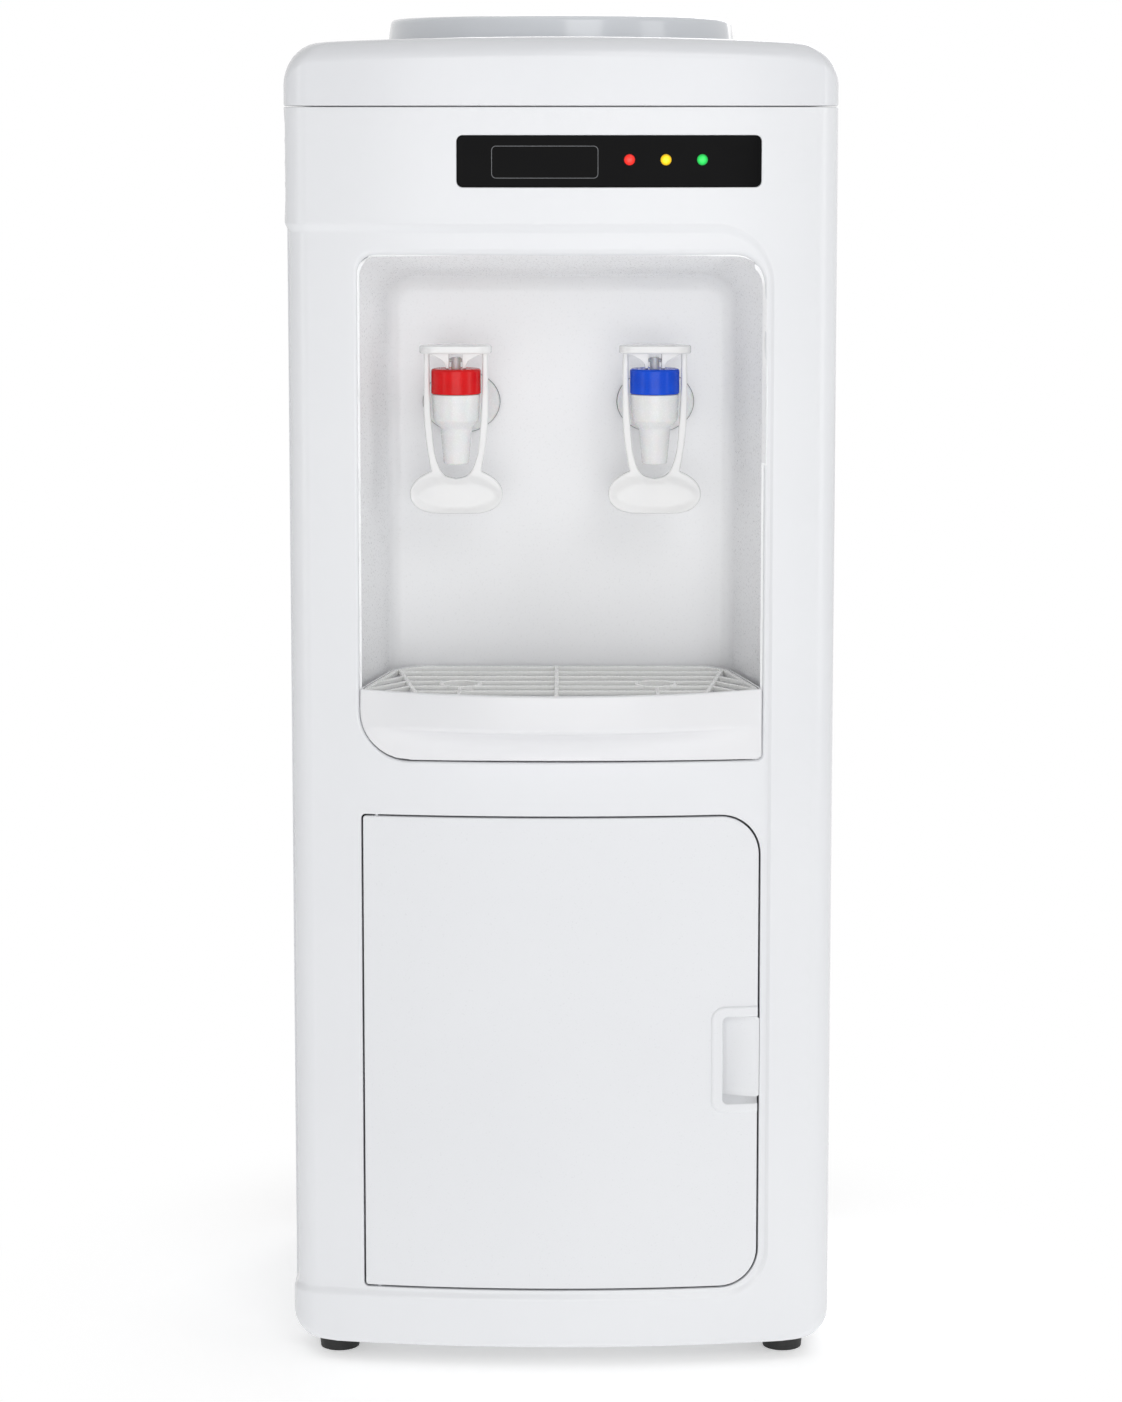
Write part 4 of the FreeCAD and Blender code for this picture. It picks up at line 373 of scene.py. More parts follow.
cabinet_white = surface("cabinet_white", (0.80, 0.81, 0.83), (0.775, 0.785, 0.808), 0.30,
                        (0.20, 0.27), 0.0016, (0.05, 0.0004))

EDGE_ROLL = 0.0008
FOOT_ROLL = 0.0025
SIDE_ROLL = 0.017
step_left = EDGE_ROLL - PANEL_END
step_outer_radii, step_inner_radii = (0.032, 0.0395), (0.0285, 0.0360)
RAMP_ROWS = (0.0, 0.10, 0.24, 0.5, 0.76, 0.90, 1.0)
STEP_OUTER = (along(0.1386), 0.0442, 0.7600)
STEP_INNER = (along(0.1362), 0.0498, 0.7530)
WINDOW_ROLL = 0.0006
WINDOW_OPENING = along(-0.06715), 0.78285, along(0.12915), 0.81615
NICHE_OPENING = along(-0.133), 0.408, along(0.133), 0.739
NICHE_CORNERS = 0.033, 0.004, 0.020, 0.012
DOOR_OPENING = along(-0.1322), 0.0508, along(0.1322), 0.3722
DOOR_CORNERS = 0.0032, 0.0262, 0.0272, 0.0032
NICHE_LIP = 0.0045


def step_line(share):
    """The sunk layer's edge, from the top of the left side round to its foot: a line of points
    and the direction into the layer, between the outer edge at 0 and the inner edge at 1."""
    right, base, top = (a + (b - a) * share for a, b in zip(STEP_OUTER, STEP_INNER))
    low, high = (a + (b - a) * share for a, b in zip(step_outer_radii, step_inner_radii))
    line, into = [], []
    runs = split((step_left, 0.0), (along(0.0968), 0.0), 0.010)
    for s, _ in runs:
        line.append((s, top))
        into.append((0.0, -1.0))
    for k in range(15):
        angle = math.radians(90 - 90 * k / 14)
        line.append((right - high + high * math.cos(angle), top - high + high * math.sin(angle)))
        into.append((-math.cos(angle), -math.sin(angle)))
    for k in range(1, 54):
        line.append((right, top - high + (base + low - top + high) * k / 54))
        into.append((-1.0, 0.0))
    for k in range(15):
        angle = math.radians(-90 * k / 14)
        line.append((right - low + low * math.cos(angle), base + low + low * math.sin(angle)))
        into.append((-math.cos(angle), -math.sin(angle)))
    for s, _ in reversed(runs):
        line.append((min(s, right - low - 0.0005), base))
        into.append((0.0, 1.0))
    return line, into


panel = Moulding()
panel_flat = {}
ramp_rows = []
for share in RAMP_ROWS:
    line, into = step_line(share)
    tilt = math.sin(math.atan(STEP_DEPTH / STEP_RUN * 6 * share * (1 - share)))
    row = panel.line(line, STEP_DEPTH * eased(share), [(ax * tilt, ay * tilt) for ax, ay in into])
    panel_flat.update(zip(row, line))
    ramp_rows.append(row)
for first, second in zip(ramp_rows, ramp_rows[1:]):
    panel.strip(second, first, closed=False)


def foot_radius(s):
    """How far the panel's lower edge curls under: little at the front, much at the sides."""
    share = min(1.0, max(0.0, (abs(s) - along(0.148)) / (CORNER_END - along(0.148))))
    return FOOT_ROLL + (SIDE_ROLL - FOOT_ROLL) * eased(share)


rear = PANEL_END - EDGE_ROLL
top_line = [(s, PANEL_TOP - EDGE_ROLL) for s, _ in split((-rear, 0.0), (rear, 0.0), 0.010)]
top_line[0] = (-rear, PANEL_TOP - EDGE_ROLL)
right_line = split((rear, PANEL_TOP - EDGE_ROLL), (rear, PANEL_BASE + SIDE_ROLL), 0.020)
foot_line = [(s, PANEL_BASE + foot_radius(s))
             for s, _ in split((rear, 0.0), (-rear, 0.0), 0.010)]
left_low = split((-rear, PANEL_BASE + SIDE_ROLL), (-rear, STEP_OUTER[1]), 0.010)
left_high = split((-rear, STEP_OUTER[2]), (-rear, PANEL_TOP - EDGE_ROLL), 0.020)[1:]
left_sunk = split((-rear, STEP_INNER[1]), (-rear, STEP_INNER[2]), 0.020)[1:]


def add_line(points, depth=0.0):
    """Adds a line of the panel and remembers its flat places."""
    row = panel.line(points, depth)
    panel_flat.update(zip(row, points))
    return row


top_row, right_row = add_line(top_line), add_line(right_line)
foot_row, low_row, high_row = add_line(foot_line), add_line(left_low), add_line(left_high)
sunk_row = add_line(left_sunk, STEP_DEPTH)

window_line, window_away = rounded(*WINDOW_OPENING, (0.004,) * 4, 0.008, 6)
window_roots = [(x + ax * WINDOW_ROLL, y + ay * WINDOW_ROLL)
                for (x, y), (ax, ay) in zip(window_line, window_away)]
window_row = add_line(window_roots)
panel.roll(window_row, window_roots, [(-ax, -ay) for ax, ay in window_away],
           [WINDOW_ROLL] * len(window_row), [0.0] * len(window_row), WALL, 3)
outer = top_row + right_row + foot_row + low_row + ramp_rows[0][::-1] + high_row
panel.fill(outer, [window_row], panel_flat, 0.0)

holes = []
for opening, corners, step, high, low, lip in (
        (NICHE_OPENING, NICHE_CORNERS, 0.009, 0.0048, 0.0018, NICHE_LIP),
        (DOOR_OPENING, DOOR_CORNERS, 0.010, 0.0007, 0.0007, WALL)):
    line, away = rounded(*opening, corners, step)
    radii = [low + (high - low) * max(0.0, ay) ** 1.5 if high > low else low for _, ay in away]
    roots = [(x + ax * r, y + ay * r) for (x, y), (ax, ay), r in zip(line, away, radii)]
    row = add_line(roots, STEP_DEPTH)
    panel.roll(row, roots, [(-ax, -ay) for ax, ay in away], radii, [STEP_DEPTH] * len(row),
               lip, 6)
    holes.append(row)
sunk_outline = ramp_rows[-1] + sunk_row
panel.fill(sunk_outline, holes, panel_flat, STEP_DEPTH)

edge_rows = (top_row + right_row + foot_row + low_row + [row[-1] for row in ramp_rows]
             + sunk_row + [row[0] for row in reversed(ramp_rows)] + high_row)
edge_places = [panel_flat[i] for i in edge_rows]
edge_away = [(0.0, 1.0) if number in top_row else (0.0, -1.0) if number in foot_row
             else (math.copysign(1.0, s), 0.0) for number, (s, _) in zip(edge_rows, edge_places)]
edge_radii = [foot_radius(s) if number in foot_row else EDGE_ROLL
              for number, (s, _) in zip(edge_rows, edge_places)]
edge_depths = [0.0] * len(top_row + right_row + foot_row + low_row)
edge_depths += [STEP_DEPTH * eased(share) for share in RAMP_ROWS] + [STEP_DEPTH] * len(sunk_row)
edge_depths += [STEP_DEPTH * eased(share) for share in RAMP_ROWS[::-1]] + [0.0] * len(high_row)
panel.roll(edge_rows, edge_places, edge_away, edge_radii, edge_depths, WALL, 6)
place_piece("cabinet_front", panel.mesh(), cabinet_white, "cabinet_white", "cabinet",
            "front_panel")

# ---------------------------------------------------------------- niche
# The dispensing niche is a separate white ABS tub, moulded with a falling ceiling and splayed
# sides that meet the back wall in soft corners. It clips in behind the panel's opening.

NICHE_REAR = -0.045
NICHE_BEND = -0.140
NICHE_SOFT = 0.010
TAP_PLACES = {"hot": -0.0695, "cold": 0.062}
TAP_HEIGHT = 0.636
TAP_HOLE = 0.0079
NICHE_HALF, NICHE_BASE, NICHE_TOP = 0.1332, 0.408, 0.7392
NICHE_RADIUS = 0.019
CEILING_FALL = (0.739 - 0.704) / (-NICHE_REAR - 0.005 + FRONT_REACH)


def ring(left, base, right, top, radii, across, tall, turns=10):
    """A rounded outline with the same number of points whatever its size."""
    line = []
    arcs = corner_arcs(left, base, right, top, radii, turns)
    for number, arc in enumerate(arcs):
        (x, y), (fx, fy) = arc[-1][0], arcs[(number + 1) % 4][0][0]
        steps = tall if number % 2 else across
        line += [place for place, _ in arc[:-1]]
        line += [(x + (fx - x) * k / steps, y + (fy - y) * k / steps) for k in range(steps)]
    return line


def add_row(places, spots):
    """Adds points to a list and gives their numbers."""
    first = len(places)
    places += [Vector(spot) for spot in spots]
    return list(range(first, len(places)))


def flat_line(places, row, up="z"):
    """A row of points as numbers with their flat places."""
    return [(i, (places[i].x, getattr(places[i], up))) for i in row]


def grid(places, outline, columns, levels, gap, raised, clear=()):
    """Adds the points of a grid that lie inside a flat outline, apart from its line and from
    circles that stay clear; raised gives the point of a flat place."""
    line = [place for _, place in outline]
    spare = []
    for a in columns:
        for b in levels:
            if all(math.dist((a, b), middle) > radius for middle, radius in clear):
                if inside((a, b), line) and not near((a, b), line, gap):
                    spare.append((len(places), (a, b)))
                    places.append(Vector(raised(a, b)))
    return spare


def bridge(rows, faces, closed=True):
    """Quads between rows of point numbers; each row lies to the left of the one before."""
    for first, second in zip(rows, rows[1:]):
        count = len(first)
        for k in range(count if closed else count - 1):
            n = (k + 1) % count
            faces.append((first[k], first[n], second[n], second[k]))


def cap_flat(outline, holes=(), spare=()):
    """Triangles over a flat outline with holes; each point is a number and a flat place."""
    loops = [outline, *holes]
    points = [point for loop in loops for point in loop] + list(spare)
    return triangles([place for _, place in points],
                     [[place for _, place in loop] for loop in loops],
                     [number for number, _ in points], filled=not holes)


def shaded(mesh, sharp=32):
    """Smooth shading that keeps flat faces flat and edges sharper than an angle sharp."""
    mesh.polygons.foreach_set("use_smooth", [True] * len(mesh.polygons))
    mesh.set_sharp_from_angle(angle=math.radians(sharp))
    holder = bpy.data.objects.new("holder", mesh)
    bpy.context.scene.collection.objects.link(holder)
    even = holder.modifiers.new("even", "WEIGHTED_NORMAL")
    even.keep_sharp = True
    even.weight = 90
    graph = bpy.context.evaluated_depsgraph_get()
    made = bpy.data.meshes.new_from_object(holder.evaluated_get(graph), depsgraph=graph)
    made.name = mesh.name
    bpy.data.objects.remove(holder)
    return made


def solid_mesh(places, faces, wall=0.0, sharp=40):
    """A closed mesh; an open sheet gets a wall of this thickness behind its faces."""
    made = bpy.data.meshes.new("solid")
    made.from_pydata(places, [], faces)
    if wall:
        backs = [p - vertex.normal * wall for vertex, p in zip(made.vertices, places)]
        count = len(places)
        open_edges = {}
        for face in faces:
            for a, b in zip(face, face[1:] + face[:1]):
                if (b, a) in open_edges:
                    del open_edges[(b, a)]
                else:
                    open_edges[(a, b)] = True
        whole = list(faces) + [tuple(count + i for i in face[::-1]) for face in faces]
        whole += [(b, a, count + a, count + b) for a, b in open_edges]
        made = bpy.data.meshes.new("walled")
        made.from_pydata(places + backs, [], whole)
    return shaded(made, sharp)


# Painted light: the tub's white is set brighter than the cabinet's white ABS, to lift the shade
# inside the niche.
niche_white = surface("niche_white", (0.905, 0.910, 0.920), (0.885, 0.890, 0.902), 0.22,
                      (0.26, 0.34), 0.0014, (0.05, 0.0004))
places, rows = [], []


def niche_row(y, half, top, radii, base=NICHE_BASE):
    """One level of the tub; its ceiling falls the deeper it lies. None is the panel's face."""
    spots = []
    for x, z in ring(-half, base, half, top, radii, 26, 24):
        deep = on_front(along(x), 0, STEP_DEPTH + 0.0033)[0].y if y is None else y
        drop = max(0.0, deep + FRONT_REACH - 0.008) * CEILING_FALL
        spots.append((x, deep, z - drop * max(0.0, (z - 0.60) / (top - 0.60))))
    rows.append(add_row(places, spots))


half_slope = (0.133 - 0.116) / (NICHE_REAR - NICHE_BEND)
niche_row(None, NICHE_HALF, NICHE_TOP, NICHE_CORNERS)
for k in range(5):
    niche_row(-0.150 + 0.0025 * k, NICHE_HALF, NICHE_TOP, (0.033, 0.004, 0.020, 0.013))
for k in range(1, 9):
    share = k / 8
    y = NICHE_BEND + (NICHE_REAR - NICHE_SOFT - NICHE_BEND) * k / 8
    half = NICHE_HALF - half_slope * (y - NICHE_BEND) * min(1.0, 0.35 + share)
    niche_row(y, half, NICHE_TOP, (0.033 - 0.014 * share, 0.004 + 0.015 * share,
                                   0.020 - 0.001 * share, 0.013 + 0.006 * share))
for k in range(1, 7):
    angle = math.radians(15 * k)
    pull = NICHE_SOFT * (1 - math.cos(angle))
    niche_row(NICHE_REAR - NICHE_SOFT + NICHE_SOFT * math.sin(angle), half - pull,
              NICHE_TOP - pull, (NICHE_RADIUS - pull,) * 4, NICHE_BASE + pull)
faces = []
bridge(rows, faces)
holes = []
for x in TAP_PLACES.values():
    flat = [(x + TAP_HOLE * math.cos(math.radians(15 * k)),
             TAP_HEIGHT + TAP_HOLE * math.sin(math.radians(15 * k))) for k in range(24)]
    holes.append(list(zip(add_row(places, [(a, NICHE_REAR, b) for a, b in flat]), flat)))
outline = flat_line(places, rows[-1])
spare = grid(places, outline, [0.0118 * k for k in range(-9, 10)],
             [0.425 + 0.0125 * k for k in range(1, 22)], 0.004,
             lambda a, b: (a, NICHE_REAR, b),
             [((x, TAP_HEIGHT), 0.011) for x in TAP_PLACES.values()])
faces += cap_flat(outline, holes, spare)
place_piece("niche_tub", solid_mesh(places, faces, 0.0025, 32), niche_white, "niche_white",
            "cabinet", "niche_liner")

# ---------------------------------------------------------------- side panels
# Each side is one painted steel sheet. Its front and rear edges are folded in as flanges, and
# its foot is rolled under in line with the front moulding.

SIDE_FRONT, SIDE_REAR, FLANGE = -0.1096, 0.1499, 0.0138
painted_side = surface("painted_side", (0.80, 0.81, 0.83), (0.775, 0.785, 0.808), 0.30,
                       (0.26, 0.33), 0.0018, (0.10, 0.0004))
SIDE_BEND = 0.0014


def quarter(radius, angles):
    """How far a rounded edge still is from its side and its face, at angles of its turn."""
    return [(radius * (1 - math.sin(math.radians(a))), radius * (1 - math.cos(math.radians(a))))
            for a in angles]


fold = [(-FLANGE, SIDE_FRONT), (-SIDE_BEND, SIDE_FRONT)]
fold += [(-inset, SIDE_FRONT + rise) for inset, rise in quarter(SIDE_BEND, (22, 45, 68, 90))]
fold += [(0.0, SIDE_FRONT + (SIDE_REAR - SIDE_FRONT) * k / 12) for k in range(1, 12)]
fold += [(-rise, SIDE_REAR - inset) for inset, rise in quarter(SIDE_BEND, (0, 22, 45, 68, 90))]
fold.append((-FLANGE, SIDE_REAR))
levels = [(HALF_WIDTH, PANEL_TOP - 0.04 * k, 1.0) for k in range(20)]
levels.append((HALF_WIDTH, PANEL_BASE + SIDE_ROLL + 0.008, 1.0))
turn = (0, 12, 24, 36, 48, 60, 72, 84, 90)
levels += [(HALF_WIDTH - rise, PANEL_BASE + inset, math.cos(math.radians(0.9 * a)))
           for a, (inset, rise) in zip(turn, quarter(SIDE_ROLL, turn))]
for side, name in ((-1, "left"), (1, "right")):
    places, faces = [], []
    rows = [add_row(places, [(side * (reach + x * share), y, z) for x, y in fold])
            for reach, z, share in levels]
    bridge(rows[::-1], faces, closed=False)
    if side < 0:
        faces = [face[::-1] for face in faces]
    place_piece(f"side_{name}", solid_mesh(places, faces, 0.0012), painted_side,
                "painted_side", "cabinet", f"side_panel_{name}")

# ---------------------------------------------------------------- indicator window
# A slab of polished black acrylic sits flush in the panel's opening. A thin light outline is
# printed for a display, and three coloured lenses stand just proud of the slab.

WINDOW_Z = (0.783, 0.816)
LAMPS = (("power_lamp", "lamp_red", 0.0439, (1.0, 0.030, 0.020)),
         ("heating_lamp", "lamp_yellow", 0.0673, (1.0, 0.62, 0.010)),
         ("cooling_lamp", "lamp_green", 0.0907, (0.020, 0.62, 0.10)))
LAMP_Z, LAMP_RADIUS, LAMP_BACK = 0.8005, 0.0036, -0.1417
LENS_DEPTH = 0.0002
DISPLAY_CORNER = 0.0028
DISPLAY = (-0.0445, 0.7888, 0.0237, 0.8092)


def smoked_acrylic():
    """Black acrylic with a faint haze in its polish and the printed outline of the display."""
    made, tree = new_material("window_black")
    place = add_node(tree, "TexCoord").outputs["Object"]
    haze = add_node(tree, "TexNoise", Vector=place, Scale=55.0, Detail=3.0)
    polish = add_node(tree, "MapRange", Value=haze, From_Min=0.3, From_Max=0.7, To_Min=0.10,
                      To_Max=0.17)
    apart = add_node(tree, "SeparateXYZ", Vector=place)
    low_x, low_z, high_x, high_z = DISPLAY

    def reckon(operation, first, second=0.0):
        return add_node(tree, "Math", operation=operation, _0=first, _1=second)

    past = {}
    for axis, socket, low, high in (("X", "X", low_x, high_x), ("Y", "Z", low_z, high_z)):
        off = reckon("ABSOLUTE", reckon("SUBTRACT", apart.outputs[socket], (low + high) / 2))
        off = reckon("SUBTRACT", off, (high - low) / 2 - DISPLAY_CORNER)
        past[axis] = reckon("MAXIMUM", off)
    corner = add_node(tree, "CombineXYZ", **past)
    length = add_node(tree, "VectorMath", operation="LENGTH", _0=corner).outputs["Value"]
    far = reckon("ABSOLUTE", reckon("SUBTRACT", length, DISPLAY_CORNER))
    print_line = add_node(tree, "MapRange", Value=far, From_Min=0.00010, From_Max=0.00026,
                          To_Min=1.0, To_Max=0.0)
    tone = add_node(tree, "Mix", data_type="RGBA", _0=print_line,
                    _6=(0.0025, 0.0025, 0.0028, 1), _7=(0.20, 0.205, 0.215, 1))
    shader = add_node(tree, "BsdfPrincipled", Base_Color=tone.outputs[2], Roughness=polish,
                      Specular_IOR_Level=0.035)
    add_node(tree, "OutputMaterial", Surface=shader)
    return made


def lit_lens(name, x, colour):
    """A tinted lens that glows, brighter in its middle and deeper in colour at its rim."""
    made, tree = new_material(name)
    place = add_node(tree, "TexCoord").outputs["Object"]
    centred = add_node(tree, "Mapping", Vector=place, Scale=(1 / LAMP_RADIUS, 0, 1 / LAMP_RADIUS),
                       Location=(-x / LAMP_RADIUS, 0, -LAMP_Z / LAMP_RADIUS))
    off = add_node(tree, "VectorMath", operation="LENGTH", _0=centred)
    ramp = colour_ramp(tree, off.outputs["Value"],
                       (0.0, [min(1.0, c * 0.95 + 0.03) for c in colour]), (0.55, colour),
                       (1.0, [c * 0.42 for c in colour]))
    shader = add_node(tree, "BsdfPrincipled", Base_Color=ramp, Emission_Color=ramp,
                      Emission_Strength=0.55, Roughness=0.12, Specular_IOR_Level=0.2)
    add_node(tree, "OutputMaterial", Surface=shader)
    return made


def softened(profile, turns=6):
    """A line of straight runs with its corners rounded; each corner is (across, up, radius)."""
    line = []
    count = len(profile)
    for k, (x, y, radius) in enumerate(profile):
        if not radius or k in (0, count - 1):
            line.append((x, y))
            continue
        here = Vector((x, y))
        before = Vector(profile[k - 1][:2]) - here
        after = Vector(profile[k + 1][:2]) - here
        half = before.angle(after) / 2
        reach = min(radius / math.tan(half), 0.49 * before.length, 0.49 * after.length)
        start, finish = here + before.normalized() * reach, here + after.normalized() * reach
        inward = (before.normalized() + after.normalized()).normalized()
        middle = here + inward * reach / math.cos(half)
        first, second = start - middle, finish - middle
        sweep = first.angle_signed(second) * -1
        for step in range(turns + 1):
            turn = sweep * step / turns
            line.append((middle.x + first.x * math.cos(turn) - first.y * math.sin(turn),
                         middle.y + first.x * math.sin(turn) + first.y * math.cos(turn)))
    return line


def turned(profile, centre, axis="z", segments=64, sharp=40, closed=False):
    """A solid of revolution; the profile runs from the axis at one end, outside, to the other."""
    spots, rows, faces = [], [], []
    for radius, height in profile:
        row = []
        for k in range(segments if radius > 1e-7 else 1):
            angle = 2 * math.pi * k / segments
            a, b = radius * math.cos(angle), radius * math.sin(angle)
            row.append(Vector(centre) + Vector((a, b, height) if axis == "z" else (a, height, -b)))
        rows.append(add_row(spots, row))
    if closed:
        rows.append(rows[0])
    for first, second in zip(rows, rows[1:]):
        if len(first) == len(second) == 1:
            continue
        for k in range(segments):
            n = (k + 1) % segments
            if len(first) == 1:
                faces.append((first[0], second[n], second[k]))
            elif len(second) == 1:
                faces.append((first[k], first[n], second[0]))
            else:
                faces.append((first[k], first[n], second[n], second[k]))
    return solid_mesh(spots, faces, 0.0, sharp)


window_black = smoked_acrylic()
slab = Moulding(wall=0.0016)
slab_flat = {}
line, away = rounded(along(-0.067), WINDOW_Z[0], along(0.129), WINDOW_Z[1], (0.004,) * 4, 0.008, 8)
roots = [(x - ax * 0.0004, y - ay * 0.0004) for (x, y), (ax, ay) in zip(line, away)]
row = slab.line(roots, 0.0002)
slab_flat.update(zip(row, roots))
slab.fill(row, [], slab_flat, 0.0002, tall=0.010)
slab.roll(row, roots, away, [0.0004] * len(row), [0.0002] * len(row), 0.0016, 3, flip=True)
place_piece("window_slab", slab.mesh(), window_black, "window_black", "cabinet",
            "indicator_window")
for name, slot, x, colour in LAMPS:
    face = on_front(along(x), 0, LENS_DEPTH)[0].y
    profile = softened([
        (0.0, face - 0.0012, 0), (LAMP_RADIUS * 0.45, face - 0.0011, 0.002),
        (LAMP_RADIUS * 0.8, face - 0.0008, 0.0012), (LAMP_RADIUS, face - 0.0001, 0.0004),
        (LAMP_RADIUS, LAMP_BACK, 0), (0.0, LAMP_BACK, 0)], 3)
    lens = turned(profile, (x, 0, LAMP_Z), "y", 40, 50)
    place_piece(f"{name}_lens", lens, lit_lens(name, x, colour), slot, "cabinet", name)

# ---------------------------------------------------------------- taps
# Each tap is a milky polypropylene valve that screws to the back wall through a thin flange,
# with a coloured ring on top. A white lever straddles it: pressing the paddle lifts the stem.

TAP_Y = -0.105
CAP_BASE, CAP_TOP, CAP_RADIUS = 0.646, 0.6626, 0.0165
LEVER_FRONT, LEVER_BACK = -0.1105, -0.1055
PLATE_BASE, PLATE_TOP = 0.6730, 0.6784
PADDLE_BASE = 0.5663
FLANGE_FRONT, FLANGE_BACK = -0.0483, -0.0453
PIPE_END = -0.0193


def joined(*meshes):
    """Several closed meshes as one, with their own shading kept."""
    places, faces, normals = [], [], []
    for mesh in meshes:
        first = len(places)
        places += [v.co.copy() for v in mesh.vertices]
        faces += [tuple(first + i for i in face.vertices) for face in mesh.polygons]
        normals += [Vector(n.vector) for n in mesh.corner_normals]
    made = bpy.data.meshes.new("joined")
    made.from_pydata(places, [], faces)
    made.polygons.foreach_set("use_smooth", [True] * len(made.polygons))
    made.normals_split_custom_set(normals)
    return made


def outward(outline):
    """The outward direction at each point of a counter-clockwise outline."""
    away = []
    for k in range(len(outline)):
        run = Vector(outline[(k + 1) % len(outline)]) - Vector(outline[k - 1])
        run.normalize()
        away.append((run.y, -run.x))
    return away


def cushion(outline, front, back, edge, turns=5, dish=None, pitch=0.004):
    """A plate drawn from the front with rounded edges on both faces; dish gives how far the
    front face sinks at a place. The outline runs counter-clockwise seen from the front."""
    spots, rows, faces = [], [], []
    away = outward(outline)
    bend = quarter(edge, [90 * k / turns for k in range(turns + 1)])
    for inset, y in ([(inset, front + rise) for inset, rise in bend]
                     + [(rise, back - inset) for inset, rise in bend]):
        rows.append(add_row(spots, [(x - ax * inset, y, z - az * inset)
                                    for (x, z), (ax, az) in zip(outline, away)]))
    bridge([row[::-1] for row in rows], faces)
    for row, y, sink in ((rows[0], front, dish), (rows[-1], back, None)):
        line = flat_line(spots, row)
        low_x, high_x, low_z, high_z = limits([place for _, place in line])
        spare = grid(spots, line,
                     [low_x + k * pitch for k in range(1, int((high_x - low_x) / pitch) + 1)],
                     [low_z + k * pitch for k in range(1, int((high_z - low_z) / pitch) + 1)],
                     0.3 * pitch, lambda a, b: (a, y + (sink(a, b) if sink else 0.0), b))
        made = cap_flat(line, [], spare)
        faces += made if y == front else [face[::-1] for face in made]
    return solid_mesh(spots, faces)


def bent(points, steps=6):
    """A smooth line through points, by Catmull-Rom steps."""
    line = []
    for k in range(len(points) - 1):
        p0 = Vector(points[max(0, k - 1)])
        p1, p2 = Vector(points[k]), Vector(points[k + 1])
        p3 = Vector(points[min(len(points) - 1, k + 2)])
        for step in range(steps):
            t = step / steps
            spot = 0.5 * (2 * p1 + (p2 - p0) * t + (2 * p0 - 5 * p1 + 4 * p2 - p3) * t * t
                          + (3 * p1 - p0 - 3 * p2 + p3) * t ** 3)
            line.append(tuple(spot))
    line.append(tuple(points[-1]))
    return line


def mirrored(right_side, x):
    """A closed outline from its right half, which runs from the bottom to the top middle."""
    line = [(x + px, pz) for px, pz in right_side]
    line += [(x - px, pz) for px, pz in reversed(right_side) if px > 1e-6]
    return line


def flat_wedge(outline, low, high, edge):
    """A plate drawn from above with rounded upper and lower edges, counter-clockwise."""
    spots, rows, faces = [], [], []
    away = outward(outline)
    levels = [(inset, low + rise) for inset, rise in quarter(edge, (0, 25, 50, 75, 90))]
    levels += [(rise, high - inset) for inset, rise in quarter(edge, (15, 40, 65, 90))]
    for inset, z in levels:
        rows.append(add_row(spots, [(x - ax * inset, y - ay * inset, z)
                                    for (x, y), (ax, ay) in zip(outline, away)]))
    bridge(rows, faces)
    faces += [face[::-1] for face in cap_flat(flat_line(spots, rows[0], "y"))]
    faces += cap_flat(flat_line(spots, rows[-1], "y"))
    return solid_mesh(spots, faces)


tap_white = surface("tap_white", (0.80, 0.80, 0.80), (0.77, 0.775, 0.78), 0.02, (0.22, 0.30),
                    0.0008, (0.04, 0.0002), Subsurface_Weight=0.25, Subsurface_Scale=0.004)
lever_white = surface("lever_white", (0.79, 0.79, 0.79), (0.77, 0.77, 0.775), 0.02,
                      (0.16, 0.22), 0.0008, (0.03, 0.0002))
hot_red = surface("hot_red", (0.70, 0.004, 0.006), (0.62, 0.003, 0.005), 0.012, (0.20, 0.28),
                  0.0006, (0.05, 0.0002), Specular_IOR_Level=0.22)
cold_blue = surface("cold_blue", (0.002, 0.075, 0.66), (0.002, 0.062, 0.58), 0.012,
                    (0.20, 0.28), 0.0006, (0.05, 0.0002), Specular_IOR_Level=0.22)
# Dark rubber for the flange seals, which also paints the shadow line round each flange.
seal_and_shadow_grey = surface("seal_and_shadow_grey", (0.16, 0.16, 0.17), (0.12, 0.12, 0.13), 0.010, (0.45, 0.6),
                    0.0006, (0.1, 0.0002))
